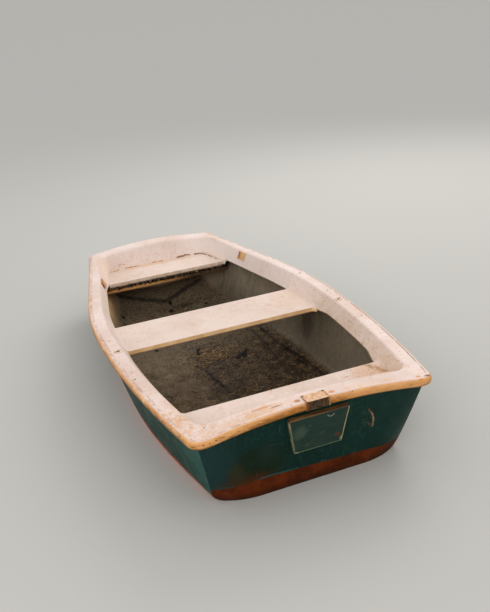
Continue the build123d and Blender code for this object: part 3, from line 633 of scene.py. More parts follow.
def mat_hull_outside():
    k = Mat("hull_teal_worn")
    big = k.noise(2.4, 4.0, 0.6)
    mid = k.noise(12.0, 6.0, 0.68)
    fine = k.noise(55.0, 6.0, 0.7)
    drip = k.noise(1.0, 5.0, 0.6, 0.3, k.scaled(46.0, 46.0, 3.0))
    # painted sheen: the sides take a lighter, greener teal than the stern, lighter still towards the stern, for their
    # reflection at a grazing angle
    side = k.ramp(k.op("ABSOLUTE", k.nx), 0.55, 0.90)
    teal = k.mix(k.ramp(big, 0.35, 0.66), srgb(8, 37, 32), srgb(13, 46, 40))
    teal = k.mix(side, teal, k.mix(k.ramp(big, 0.35, 0.66), srgb(2, 50, 42), srgb(6, 61, 51)))
    side_sheen_aft = k.mul(side, k.ramp(k.y, -0.85, -1.15), 0.6)
    teal = k.mix(side_sheen_aft, teal, srgb(28, 92, 84))
    teal = k.mix(k.mul(k.ramp(fine, 0.50, 0.70), 0.34), teal, srgb(34, 74, 64))
    teal = k.mix(k.mul(k.ramp(drip, 0.52, 0.70), 0.34), teal, srgb(36, 74, 64))
    teal = k.mix(k.mul(k.ramp(drip, 0.30, 0.44, 1.0, 0.0), 0.35), teal, srgb(12, 28, 22))
    teal = k.mix(k.mul(k.ramp(mid, 0.58, 0.72), 0.22), teal, srgb(48, 74, 58))
    # painted light: lighter, bluer towards the port quarter of the stern, for the shading of its rounded corner
    quarter = k.mul(k.ramp(k.x, -0.26, -0.40), k.inv(side))
    teal = k.mix(k.mul(quarter, 0.45), teal, srgb(34, 62, 62))
    # brown smear low on the port half of the stern, with a greenish ring above it
    ring = k.mul(k.blob((-0.235, -1.16, 0.165), (0.135, 0.20, 0.115), 0.35, 9.0, 0.6), 0.75)
    teal = k.mix(ring, teal, srgb(20, 32, 12))
    inner = k.mul(k.blob((-0.200, -1.16, 0.205), (0.060, 0.20, 0.070), 0.4, 12.0, 0.8), 0.6)
    teal = k.mix(inner, teal, srgb(26, 48, 42))
    smear = k.blob((-0.255, -1.16, 0.090), (0.150, 0.20, 0.075), 0.75, 11.0, 0.8)
    teal = k.mix(k.mul(smear, 0.90), teal, k.mix(k.ramp(k.z, 0.13, 0.08), srgb(42, 30, 9), srgb(72, 38, 8)))
    dull = k.mul(k.blob((-0.318, -1.16, 0.145), (0.050, 0.20, 0.075), 0.8, 14.0, 0.9), 0.8)
    teal = k.mix(dull, teal, srgb(50, 44, 24))
    # fine scratches and scuffs
    scr = k.ramp(k.noise(1.0, 2.0, 0.5, 0.0, k.scaled(9.0, 9.0, 190.0, (0.25, 0.35, 0.0))), 0.70, 0.735)
    scr2 = k.ramp(k.noise(1.0, 2.0, 0.5, 0.0, k.scaled(120.0, 60.0, 8.0, (0.1, 0.5, 0.2))), 0.715, 0.745)
    mask = k.mul(k.high(k.mul(scr, 0.5), scr2), k.ramp(k.noise(3.5, 3.0), 0.48, 0.62))
    teal = k.mix(k.mul(mask, 0.35), teal, srgb(100, 122, 106))
    near_eye = k.mul(k.blob((0.214, -1.19, 0.24), (0.035, 0.20, 0.06), 0.4, 40.0, 0.6), k.ramp(k.noise(60.0, 5.0), 0.45, 0.6))
    teal = k.mix(k.mul(near_eye, 0.6), teal, srgb(62, 74, 52))
    # boot band: its top sinks a little to starboard across the stern and is a
    # narrow strip along the sides, with a hand-painted edge, chipped and rubbed
    wav = k.mul(k.sub(k.noise(9.0, 3.0), 0.5), 0.008)
    ax = k.op("ABSOLUTE", k.x)
    q = k.mul(ax, 2.5)
    q4 = k.mul(q, q, q, q)
    top = k.sub(k.sub(0.078, k.mul(k.x, 0.0325)), k.mul(q4, 0.023))
    abaft = k.ramp(k.ny, -0.30, -0.80)
    top = k.add(0.030, k.mul(k.sub(top, 0.030), abaft))
    edge = k.sub(k.add(k.z, k.add(wav, k.mul(k.sub(k.noise(90.0, 3.0), 0.5), 0.003))), top)
    inband = k.mul(k.ramp(edge, -0.001, 0.001, 1.0, 0.0), k.ramp(k.z, -0.012, -0.004))
    red = k.mix(k.ramp(mid, 0.35, 0.68), srgb(100, 40, 6), srgb(68, 26, 4))
    red = k.mix(k.mul(k.ramp(k.z, 0.040, 0.015), 0.5), red, srgb(40, 20, 6))
    # painted sheen: along the sides the band is a far brighter orange-red than across the stern
    red = k.mix(k.inv(abaft), red, k.mix(k.ramp(mid, 0.35, 0.68), srgb(224, 90, 34), srgb(186, 74, 30)))
    red = k.mix(k.mul(k.ramp(k.noise(30.0, 6.0, 0.7), 0.56, 0.68), 0.5), red, srgb(46, 22, 8))
    red = k.mix(k.mul(k.ramp(drip, 0.56, 0.70), 0.30), red, srgb(124, 66, 26))
    # painted highlight: a thin brighter teal line just above the band
    cut = k.mul(k.ramp(k.op("ABSOLUTE", k.sub(edge, 0.004)), 0.001, 0.004, 1.0, 0.0), k.ramp(k.noise(11.0, 4.0), 0.44, 0.58), k.ramp(k.x, 0.1, 0.0))
    teal = k.mix(k.mul(cut, 0.6), teal, srgb(30, 104, 106))
    col = k.mix(inband, teal, red)
    # below: old antifouling
    anti = k.mix(k.noise(7.0, 5.0), srgb(84, 34, 22), srgb(54, 26, 20))
    anti = k.mix(k.mul(k.ramp(k.noise(40.0, 6.0, 0.7), 0.5, 0.66), 0.5), anti, srgb(70, 66, 44))
    col = k.mix(k.ramp(k.z, -0.004, -0.012), col, anti)
    # wet, slimy line at the water
    slime = k.mul(k.ramp(k.add(k.z, k.mul(k.sub(k.noise(26.0, 5.0), 0.5), 0.012)), 0.003, 0.010, 1.0, 0.0), k.ramp(k.z, -0.05, -0.02))
    col = k.mix(k.mul(slime, 0.6), col, srgb(24, 24, 14))
    rough = k.ramp(k.add(k.mul(mid, 0.7), k.mul(drip, 0.3)), 0.3, 0.7, 0.34, 0.56)
    rough = k.add(rough, k.mul(inband, 0.15))
    k.bump(k.noise(7.0, 3.0, 0.5), 0.004)
    k.bump(k.noise(300.0, 3.0, 0.6), 0.0003)
    k.bump(inband, 0.0006)
    return k.finish(col, rough, 0.09)


def mat_hull_inside():
    k = Mat("bilge_paint_dirty")
    big = k.noise(3.0, 5.0, 0.62)
    mid = k.noise(15.0, 8.0, 0.78)
    grit = k.noise(62.0, 8.0, 0.80)
    streak = k.noise(1.0, 6.0, 0.7, 0.5, k.scaled(38.0, 38.0, 3.2))
    # walls: greenish grey, faintly streaked
    wall = k.mix(k.ramp(big, 0.35, 0.66), srgb(136, 123, 104), srgb(116, 106, 88))
    wall = k.mix(k.mul(k.ramp(streak, 0.50, 0.70), 0.30), wall, srgb(154, 142, 120))
    wall = k.mix(k.mul(k.ramp(streak, 0.28, 0.46, 1.0, 0.0), 0.40), wall, srgb(82, 70, 54))
    wall = k.mix(k.mul(k.ramp(grit, 0.54, 0.66), 0.35), wall, srgb(142, 130, 108))
    wall = k.mix(k.mul(k.ramp(grit, 0.34, 0.46, 1.0, 0.0), 0.45), wall, srgb(72, 62, 46))
    # painted light: the port side's inner face takes a warm sunlit tan, brightest forward
    port = k.ramp(k.nx, 0.40, 0.85)
    fwd = k.ramp(k.y, 0.2, 0.7)
    port_wall_sunlit = k.mix(k.ramp(streak, 0.35, 0.65), srgb(252, 200, 130), srgb(200, 152, 94))
    port_wall_sunlit = k.mix(k.mul(k.ramp(grit, 0.36, 0.5, 1.0, 0.0), 0.5), port_wall_sunlit, srgb(96, 72, 42))
    wall = k.mix(k.mul(port, fwd, k.ramp(k.z, 0.06, 0.17, 0.45, 1.0)), wall, port_wall_sunlit)
    # bottom: olive-brown dirt of several grain sizes
    wob = k.mul(k.sub(k.noise(7.0, 7.0, 0.75), 0.5), 0.62)
    clean = k.mul(k.ramp(k.add(k.x, wob), 0.06, -0.20), k.ramp(k.y, -0.75, -0.45), k.ramp(k.y, 0.50, 0.35))
    floor = k.mix(k.ramp(mid, 0.40, 0.60), srgb(104, 82, 54), srgb(54, 41, 25))
    floor = k.mix(k.mul(clean, 0.75), floor, k.mix(k.ramp(mid, 0.36, 0.64), srgb(136, 116, 90), srgb(106, 90, 68)))
    murk = k.high(k.blob((0.04, -0.06, -0.06), (0.19, 0.30, 0.2), 0.7, 10.0, 0.8), k.blob((0.26, -0.30, -0.05), (0.22, 0.26, 0.2), 0.7, 10.0, 0.9))
    floor = k.mix(k.mul(murk, 0.70), floor, srgb(40, 29, 15))
    clump = k.mul(k.ramp(k.noise(11.0, 7.0, 0.78, 0.5), 0.50, 0.58), k.ramp(clean, 0.0, 1.0, 0.9, 0.15))
    floor = k.mix(k.mul(clump, 0.75), floor, srgb(26, 18, 9))
    floor = k.mix(k.mul(k.ramp(k.noise(6.0, 7.0, 0.72, 0.8), 0.50, 0.62), k.inv(clean), 0.55), floor, srgb(46, 35, 21))
    floor = k.mix(k.mul(k.ramp(grit, 0.54, 0.61), k.ramp(clean, 0.0, 1.0, 0.50, 0.28)), floor, srgb(150, 120, 82))
    floor = k.mix(k.mul(k.ramp(grit, 0.38, 0.47, 1.0, 0.0), k.ramp(clean, 0.0, 1.0, 0.75, 0.40)), floor, srgb(28, 20, 11))
    shoal = k.noise(9.0, 8.0, 0.70, 1.1)
    floor = k.mix(k.mul(k.ramp(shoal, 0.50, 0.60), k.inv(clean), 0.55), floor, srgb(96, 80, 58))
    floor = k.mix(k.mul(k.ramp(shoal, 0.42, 0.50, 1.0, 0.0), k.ramp(clean, 0.0, 1.0, 0.60, 0.20)), floor, srgb(30, 21, 11))
    grit2 = k.noise(26.0, 7.0, 0.8, 0.6)
    floor = k.mix(k.mul(k.ramp(grit2, 0.41, 0.48, 1.0, 0.0), k.ramp(clean, 0.0, 1.0, 0.90, 0.3)), floor, srgb(22, 15, 8))
    floor = k.mix(k.mul(k.ramp(grit2, 0.55, 0.62), k.ramp(clean, 0.0, 1.0, 0.50, 0.3)), floor, srgb(128, 98, 60))
    floor = k.mix(k.mul(k.ramp(k.noise(150.0, 5.0, 0.75), 0.56, 0.66), 0.45), floor, srgb(168, 142, 106))
    # the fore well's bottom is greyer
    fore = k.mul(k.ramp(k.y, 0.1, 0.5), 0.85)
    floor = k.mix(fore, floor, k.mix(k.ramp(k.add(k.mul(grit, 0.5), k.mul(mid, 0.5)), 0.42, 0.58), srgb(76, 65, 51), srgb(112, 99, 80)))
    wall = k.mix(k.mul(fore, 0.5), wall, k.mix(k.ramp(streak, 0.40, 0.60), srgb(104, 94, 78), srgb(140, 128, 108)))
    foot = k.mul(k.ramp(k.add(k.z, k.mul(k.sub(k.noise(9.0, 6.0, 0.7), 0.5), 0.12)), 0.17, 0.02), k.ramp(k.y, 0.1, 0.4))
    wall = k.mix(k.mul(foot, 0.60), wall, srgb(70, 62, 49))
    rough_wall = k.ramp(k.noise(44.0, 6.0, 0.75), 0.40, 0.60)
    wall = k.mix(k.mul(rough_wall, 0.22), wall, srgb(76, 68, 54))
    # painted light: the walls and bottom under the bow seat are made paler
    under = k.ramp(k.y, 0.84, 1.0)
    wall = k.mix(k.mul(under, 0.8), wall, srgb(172, 154, 130))
    floor = k.mix(k.mul(under, 0.6), floor, srgb(150, 132, 108))
    # swirls of silt abaft the thwart
    swirl = k.noise(1.0, 2.0, 0.4, 2.4, k.scaled(52.0, 15.0, 30.0, (0.0, 0.0, 0.5)))
    sw = k.mul(k.ramp(k.op("ABSOLUTE", k.sub(swirl, 0.5)), 0.015, 0.05, 1.0, 0.0), k.blob((0.06, -0.10, -0.05), (0.20, 0.26, 0.2), 0.5, 9.0, 0.7))
    floor = k.mix(k.mul(sw, 0.6), floor, srgb(116, 94, 64))
    speck = k.noise(75.0, 5.0, 0.8)
    where = k.ramp(k.noise(8.0, 6.0, 0.7), 0.44, 0.58, 0.15, 1.0)
    floor = k.mix(k.mul(k.ramp(speck, 0.41, 0.46, 1.0, 0.0), k.ramp(clean, 0.0, 1.0, 0.85, 0.45)), floor, srgb(24, 17, 9))
    floor = k.mix(k.mul(k.ramp(speck, 0.565, 0.61), where, k.ramp(clean, 0.0, 1.0, 0.55, 0.22)), floor, srgb(182, 142, 92))
    turn = k.add(k.nz, k.mul(k.sub(k.noise(7.0, 5.0, 0.6), 0.5), 0.30))
    col = k.mix(k.ramp(turn, 0.50, 0.88), wall, floor)
    # dark silt along the bilges
    chine = k.line([(0.372, 0.46), (0.386, 0.308), (0.397, 0.162), (0.416, 0.037), (0.429, -0.082), (0.439, -0.158),
                    (0.439, -0.251), (0.444, -0.321), (0.440, -0.60), (0.42, -0.85)], 0.019, 1.2, 38.0, 0.9)
    chine = k.mul(chine, k.ramp(k.noise(13.0, 6.0, 0.75), 0.40, 0.55, 0.30, 1.0))
    col = k.mix(k.mul(chine, 0.95), col, srgb(26, 18, 10))
    second = k.line([(0.330, 0.36), (0.336, 0.292), (0.330, 0.037), (0.314, -0.242), (0.30, -0.42)], 0.013, 1.0, 40.0, 0.9)
    col = k.mix(k.mul(second, 0.6), col, srgb(40, 29, 18))
    chp = k.line([(-0.372, 0.46), (-0.416, 0.037), (-0.439, -0.251), (-0.440, -0.60), (-0.42, -0.85)], 0.016, 1.0, 42.0, 0.9)
    col = k.mix(k.mul(chp, 0.7), col, srgb(36, 27, 18))
    diag = k.line([(-0.070, 0.150), (-0.033, 0.082), (-0.015, -0.176), (0.012, -0.30)], 0.020, 0.9, 34.0, 0.9)
    col = k.mix(k.mul(diag, 0.75), col, srgb(30, 22, 13))
    # dark patches and blots
    for c, r, tone, f in (((0.190, 0.150, -0.047), (0.052, 0.034, 0.05), (16, 11, 8), 0.9),
                          ((-0.222, 0.406, -0.03), (0.014, 0.010, 0.05), (16, 11, 8), 0.95),
                          ((0.40, 0.045, -0.03), (0.030, 0.016, 0.05), (20, 14, 9), 0.9),
                          ((0.51, -0.02, 0.11), (0.05, 0.090, 0.12), (44, 36, 26), 0.6),
                          ((-0.01, 0.30, -0.05), (0.030, 0.035, 0.05), (30, 21, 14), 0.7),
                          ((0.009, 0.925, 0.03), (0.014, 0.030, 0.04), (14, 10, 8), 0.95),
                          ((-0.012, 0.838, 0.01), (0.020, 0.016, 0.04), (14, 10, 8), 0.95),
                          ((0.205, 0.799, 0.02), (0.010, 0.010, 0.04), (16, 11, 8), 0.9),
                          ((-0.312, 0.818, 0.05), (0.016, 0.020, 0.04), (22, 15, 10), 0.9),
                          ((0.07, 0.86, 0.02), (0.09, 0.040, 0.05), (38, 32, 26), 0.6),
                          ((0.41, 0.04, -0.03), (0.016, 0.050, 0.04), (24, 17, 11), 0.7),
                          ((-0.06, -0.16, -0.06), (0.05, 0.10, 0.05), (44, 34, 22), 0.5)):
        col = k.mix(k.mul(k.blob(c, r, 0.7, 70.0, 0.7), f), col, srgb(*tone))
    # dark bluish lines on the bottom towards the bow
    for pts, r in (([(-0.30, 1.060), (-0.255, 1.046), (-0.140, 0.990), (-0.026, 0.956)], 0.034),
                   ([(-0.026, 0.956), (0.060, 0.975), (0.123, 1.005), (0.249, 1.053)], 0.030)):
        col = k.mix(k.mul(k.line(pts, r, 0.8, 20.0, 0.95), 0.8), col, srgb(28, 34, 36))
    rip = k.line([(0.379, 0.900), (0.356, 0.862), (0.335, 0.845), (0.322, 0.826), (0.346, 0.727), (0.352, 0.66)], 0.009, 1.3, 60.0, 0.9)
    col = k.mix(k.mul(rip, 0.22), col, srgb(40, 34, 26))
    mud = k.mul(k.blob((0.02, -0.52, -0.05), (0.30, 0.30, 0.2), 0.9, 9.0, 0.6), k.ramp(k.noise(34.0, 7.0, 0.75), 0.42, 0.58))
    col = k.mix(k.mul(mud, 0.65), col, srgb(44, 34, 22))
    pale = k.dots(70.0, 0.16, 0.16)
    col = k.mix(k.mul(pale, 0.45), col, srgb(160, 138, 106))
    dark = k.dots(52.0, 0.15, 0.25)
    col = k.mix(k.mul(dark, 0.7), col, srgb(28, 21, 14))
    # painted shade: darker where ambient occlusion finds corners
    ao = k.crevice(0.05)
    col = k.mix(k.mul(k.ramp(ao, 0.3, 0.8, 1.0, 0.0), 0.3), col, srgb(40, 31, 20))
    rough = k.ramp(mid, 0.3, 0.7, 0.55, 0.82)
    k.bump(grit, 0.0036)
    k.bump(k.noise(380.0, 4.0, 0.6), 0.0006)
    return k.finish(col, rough, 0.25)


def mat_pad():
    k = Mat("pad_paint_worn")
    mid = k.noise(20.0, 6.0, 0.7)
    grain = k.noise(1.0, 5.0, 0.6, 0.3, k.scaled(7.0, 40.0, 150.0))
    col = k.mix(k.ramp(mid, 0.35, 0.68), srgb(22, 48, 40), srgb(32, 56, 48))
    col = k.mix(k.mul(k.ramp(grain, 0.56, 0.70), 0.35), col, srgb(62, 82, 66))
    patch = k.mul(k.blob((-0.075, -1.21, 0.270), (0.035, 0.2, 0.040), 0.8, 30.0, 0.7), 0.5)
    col = k.mix(patch, col, srgb(72, 92, 76))
    rub = k.mul(k.ramp(k.noise(36.0, 6.0, 0.7, 0.5), 0.56, 0.64), k.ramp(k.noise(6.0, 3.0), 0.42, 0.6))
    col = k.mix(k.mul(rub, 0.45), col, srgb(92, 104, 82))
    # a small pale curved scratch
    for (cx, cz), r, f in (((0.045, 0.3225), 0.0145, 0.75),):
        dx, dz = k.sub(k.x, cx), k.sub(k.z, cz)
        d = k.op("SQRT", k.add(k.mul(dx, dx), k.mul(dz, dz)))
        arc = k.mul(k.ramp(k.op("ABSOLUTE", k.sub(d, r)), 0.0008, 0.0024, 1.0, 0.0), k.ramp(dz, -0.2 * r, -0.55 * r))
        col = k.mix(k.mul(arc, f), col, srgb(160, 164, 138))
    # paint worn off along the edges of the face; the right edge's pale line is also painted light, since the bevel
    # there lies in shade
    rag = k.mul(k.sub(k.noise(55.0, 5.0, 0.7), 0.5), 0.010)
    half_w = k.add(0.097, k.mul(k.sub(k.z, 0.176), 0.1605))
    right = k.add(k.sub(half_w, k.x), rag)
    left = k.add(k.add(half_w, k.x), rag)
    low = k.add(k.sub(k.z, 0.174), k.mul(rag, 0.8))
    face_n = k.ramp(k.ny, -0.90, -0.96)
    for d, w, tone, f in ((right, 0.0060, (182, 168, 128), 0.95), (left, 0.0046, (120, 130, 102), 0.70), (low, 0.0062, (96, 114, 84), 0.75)):
        col = k.mix(k.mul(k.ramp(d, w * 0.6, w, 1.0, 0.0), face_n, f), col, srgb(*tone))
    brown = k.mul(k.blob((0.074, -1.2, 0.212), (0.013, 0.2, 0.012), 0.5, 60.0, 0.6), 0.9)
    col = k.mix(brown, col, srgb(86, 50, 22))
    # bare edges: the bevelled rim faces neither straight out nor sideways
    n = k.t.nodes.new("ShaderNodeVectorMath")
    n.operation = "DOT_PRODUCT"
    k.t.links.new(k.n, n.inputs[0])
    n.inputs[1].default_value = (0.0, -0.97904, -0.20364)
    face = n.outputs["Value"]
    rim = k.mul(k.ramp(face, 0.90, 0.98, 1.0, 0.0), k.ramp(mid, 0.36, 0.54), k.ramp(k.x, -0.05, 0.08, 0.55, 1.0))
    bare = k.mix(k.ramp(grain, 0.4, 0.62), srgb(206, 190, 150), srgb(150, 128, 88))
    green = k.mix(grain, srgb(150, 158, 118), srgb(108, 116, 78))
    bare = k.mix(k.ramp(k.z, 0.200, 0.180), bare, green)
    col = k.mix(k.mul(rim, 0.9), col, bare)
    chipped = k.high(k.blob((-0.090, -1.2, 0.178), (0.014, 0.2, 0.006), 0.9, 70.0, 0.6),
                     k.blob((0.090, -1.2, 0.188), (0.008, 0.2, 0.014), 0.9, 70.0, 0.6))
    col = k.mix(k.mul(chipped, k.ramp(k.noise(140.0, 4.0, 0.7), 0.44, 0.52), 0.7), col, srgb(160, 150, 112))
    top = k.ramp(k.nz, 0.35, 0.75)
    col = k.mix(top, col, k.mix(k.ramp(grain, 0.4, 0.6), srgb(112, 80, 42), srgb(74, 52, 28)))
    strip = k.mul(k.ramp(k.z, 0.326, 0.332), k.ramp(mid, 0.30, 0.45))
    col = k.mix(k.mul(strip, 0.85), col, k.mix(k.ramp(grain, 0.4, 0.6), srgb(110, 78, 42), srgb(66, 46, 26)))
    # painted shade: darker where ambient occlusion finds corners
    ao = k.crevice(0.01)
    col = k.mix(k.mul(k.ramp(ao, 0.3, 0.8, 1.0, 0.0), 0.5), col, srgb(16, 22, 16))
    k.bump(k.mul(grain, 1.0), 0.0010)
    k.bump(rub, 0.0005)
    return k.finish(col, k.ramp(mid, 0.3, 0.7, 0.46, 0.68), 0.22)


def mat_plate():
    k = Mat("galvanised_dull")
    c0, c1, c2 = k.split(k.cells(150.0, out="Color"))
    mid = k.noise(46.0, 6.0, 0.7)
    col = k.mix(k.ramp(c0, 0.2, 0.9), srgb(228, 188, 154), srgb(194, 154, 118))
    col = k.mix(k.mul(k.ramp(mid, 0.46, 0.66), 0.45), col, srgb(182, 136, 92))
    col = k.mix(k.mul(k.dots(230.0, 0.30, 0.40), 0.7), col, srgb(92, 62, 34))
    # painted highlight along the bend, and the front painted dark as shade, with painted glints
    bend = k.mul(k.ramp(k.op("ABSOLUTE", k.sub(k.ny, -0.6)), 0.22, 0.34, 1.0, 0.0), k.ramp(k.noise(60.0, 3.0), 0.36, 0.5))
    front = k.ramp(k.ny, -0.6, -0.9)
    glint = k.ramp(k.noise(1.0, 5.0, 0.8, 0.4, k.scaled(420.0, 20.0, 26.0)), 0.56, 0.66)
    front_shade_and_glints = k.mix(k.ramp(mid, 0.35, 0.65), srgb(74, 51, 23), srgb(38, 27, 13))
    front_shade_and_glints = k.mix(k.mul(glint, 0.50), front_shade_and_glints, srgb(176, 146, 104))
    side = k.mul(k.ramp(k.x, 0.034, 0.040), k.ramp(k.noise(110.0, 4.0), 0.36, 0.5))
    front_shade_and_glints = k.mix(k.mul(side, 0.7), front_shade_and_glints, srgb(196, 162, 116))
    front_shade_and_glints = k.mix(k.mul(k.ramp(k.noise(90.0, 5.0, 0.7), 0.5, 0.62), 0.5), front_shade_and_glints, srgb(120, 76, 34))
    col = k.mix(front, col, front_shade_and_glints)
    col = k.mix(k.mul(bend, 0.7), col, srgb(236, 210, 178))
    edge = k.mul(k.blob((0.044, -1.2, 0.39), (0.012, 0.05, 0.03), 0.4, 60.0), 0.7)
    col = k.mix(edge, col, srgb(180, 112, 44))
    rust = k.mul(k.blob((-0.052, -1.215, 0.380), (0.010, 0.05, 0.03), 0.4, 60.0), 0.7)
    col = k.mix(rust, col, srgb(128, 70, 30))
    k.bump(mid, 0.0006)
    k.bump(k.noise(600.0, 2.0), 0.0002)
    return k.finish(col, k.ramp(mid, 0.3, 0.7, 0.50, 0.72), 0.35, 0.15)


def mat_steel(name="fitting_rusted", light=(150, 140, 124), rust=(104, 62, 30)):
    k = Mat(name)
    mid = k.noise(80.0, 6.0, 0.7)
    col = k.mix(k.ramp(mid, 0.44, 0.60), srgb(*light), srgb(*rust))
    col = k.mix(k.mul(k.dots(300.0, 0.3, 0.3), 0.6), col, srgb(54, 36, 22))
    k.bump(mid, 0.0004)
    return k.finish(col, k.ramp(mid, 0.4, 0.6, 0.32, 0.75), 0.5, k.ramp(mid, 0.44, 0.60, 0.85, 0.1))


def mat_wood(name, light, dark, wet=0.0, axis=(4.0, 120.0, 120.0), bump=0.0012):
    k = Mat(name)
    grain = k.noise(1.0, 6.0, 0.65, 0.5, k.scaled(*axis))
    mid = k.noise(26.0, 6.0, 0.7)
    col = k.mix(k.ramp(grain, 0.35, 0.65), srgb(*light), srgb(*dark))
    col = k.mix(k.mul(k.ramp(mid, 0.52, 0.70), 0.6), col, srgb(*[int(c * 0.45) for c in dark]))
    k.bump(grain, bump)
    k.bump(mid, bump * 0.8)
    return k.finish(col, k.ramp(mid, 0.3, 0.7, 0.5 - wet, 0.8 - wet), 0.35)


def mat_rotten():
    """The beam: an orange-tan batten below, black rot with pale fibres above."""
    k = Mat("beam_rotten")
    grain = k.noise(1.0, 6.0, 0.65, 0.6, k.scaled(5.0, 120.0, 140.0))
    rot = k.noise(1.0, 7.0, 0.72, 0.8, k.scaled(60.0, 60.0, 110.0))
    wood = k.mix(k.ramp(grain, 0.35, 0.65), srgb(226, 172, 108), srgb(172, 116, 62))
    wood = k.mix(k.mul(k.ramp(k.x, -0.02, 0.16), 0.92), wood, k.mix(k.ramp(grain, 0.4, 0.6), srgb(78, 55, 33), srgb(44, 33, 22)))
    black = k.mix(k.ramp(rot, 0.54, 0.62), srgb(20, 15, 11), srgb(104, 82, 56))
    black = k.mix(k.mul(k.ramp(k.x, -0.18, -0.34), k.ramp(rot, 0.40, 0.52)), black, srgb(158, 108, 58))
    chips = k.mul(k.ramp(k.noise(38.0, 7.0, 0.8, 0.7), 0.55, 0.60), k.ramp(k.x, 0.20, 0.02))
    black = k.mix(k.mul(chips, 0.85), black, srgb(214, 184, 148))
    wet = k.ramp(k.add(k.z, k.mul(k.sub(k.noise(22.0, 6.0, 0.75), 0.5), 0.020)), 0.2050, 0.1985)
    wood = k.mix(k.mul(wet, 0.88), wood, srgb(62, 44, 27))
    up = k.ramp(k.add(k.z, k.mul(k.sub(rot, 0.5), 0.012)), 0.2165, 0.2205)
    col = k.mix(up, wood, black)
    dark = k.ramp(k.noise(30.0, 6.0, 0.7), 0.58, 0.66)
    col = k.mix(k.mul(dark, 0.7), col, srgb(40, 28, 18))
    k.bump(rot, 0.004)
    k.bump(grain, 0.0012)
    return k.finish(col, 0.78, 0.25)


def mat_amber():
    k = Mat("cheek_varnish")
    grain = k.noise(1.0, 5.0, 0.6, 0.5, k.scaled(60.0, 8.0, 60.0))
    mid = k.noise(60.0, 6.0, 0.7)
    col = k.mix(k.ramp(grain, 0.35, 0.65), srgb(220, 164, 90), srgb(182, 112, 44))
    # the varnish has gone from the after part, where the wood is bleached
    bare = k.mul(k.ramp(k.add(k.y, k.mul(k.sub(mid, 0.5), 0.03)), 0.672, 0.655), k.ramp(k.x, 0.0, 0.1))
    col = k.mix(k.mul(bare, 0.6), col, srgb(228, 190, 140))
    col = k.mix(k.mul(k.ramp(mid, 0.58, 0.68), 0.45), col, srgb(232, 200, 158))
    stroke = k.mul(k.ramp(k.op("ABSOLUTE", k.sub(k.add(k.y, k.mul(k.sub(grain, 0.5), 0.02)), 0.684)), 0.004, 0.010, 1.0, 0.0), k.ramp(k.x, 0.0, 0.1))
    col = k.mix(k.mul(stroke, 0.85), col, srgb(150, 82, 26))
    k.bump(grain, 0.0008)
    return k.finish(col, k.ramp(mid, 0.3, 0.7, 0.35, 0.6), 0.4)


def mat_socket():
    k = Mat("socket_faded")
    mid = k.noise(90.0, 6.0, 0.7)
    col = k.mix(k.ramp(mid, 0.40, 0.66), srgb(232, 206, 184), srgb(176, 142, 112))
    # painted shade: the bore is dark below its rim
    inside = k.ramp(k.z, 0.3565, 0.352)
    col = k.mix(inside, col, srgb(46, 34, 26))
    k.bump(mid, 0.0004)
    return k.finish(col, k.ramp(mid, 0.3, 0.7, 0.4, 0.6), 0.4)


def mat_litter(name, a, b, c):
    k = Mat(name)
    pick = k.noise(55.0, 2.0, 0.5)
    fine = k.noise(400.0, 4.0, 0.7)
    col = k.mix(k.ramp(pick, 0.35, 0.65), srgb(*a), srgb(*b))
    col = k.mix(k.ramp(fine, 0.45, 0.7), col, srgb(*c))
    k.bump(fine, 0.0006)
    return k.finish(col, k.ramp(fine, 0.3, 0.7, 0.6, 0.85), 0.25)


M_DECK, M_SEAT, M_STRAKE = mat_deck(), mat_seat(), mat_strake()
M_OUT, M_IN = mat_hull_outside(), mat_hull_inside()
M_PAD, M_PLATE, M_STEEL = mat_pad(), mat_plate(), mat_steel()
M_SCREW = mat_steel("screw_dark", (70, 56, 42), (48, 30, 18))
M_BEAM, M_AMBER, M_SOCKET = mat_rotten(), mat_amber(), mat_socket()
M_LITTER = mat_litter("litter_brown", (70, 48, 28), (36, 26, 18), (104, 78, 50))
M_FLAKE = mat_litter("flake_pale", (178, 148, 110), (120, 92, 62), (70, 52, 36))
M_STRAW = mat_litter("straw_dry", (214, 180, 128), (156, 122, 80), (110, 84, 52))
M_BLACK = mat_litter("litter_black", (22, 16, 11), (12, 9, 7), (48, 36, 24))
M_CRACK = mat_litter("crack_orange", (206, 132, 54), (150, 94, 36), (230, 176, 106))
M_CRACKD = mat_litter("crack_brown", (150, 98, 40), (84, 56, 24), (206, 154, 90))


# -------------------------------------------------------------------- hull
def build_hull():
    ob = skin("hull_shell", M_OUT, bevel=0.0, angle=28)
    me = ob.data
    me.materials.append(M_IN)
    for p in me.polygons:
        c = p.center
        ref = Vector((0.0, min(max(c.y, -0.95), 0.85), 0.30))
        if p.normal.dot(c - ref) < 0:
            p.material_index = 1
    return ob


hull = build_hull()
hull_mesh = hull.data


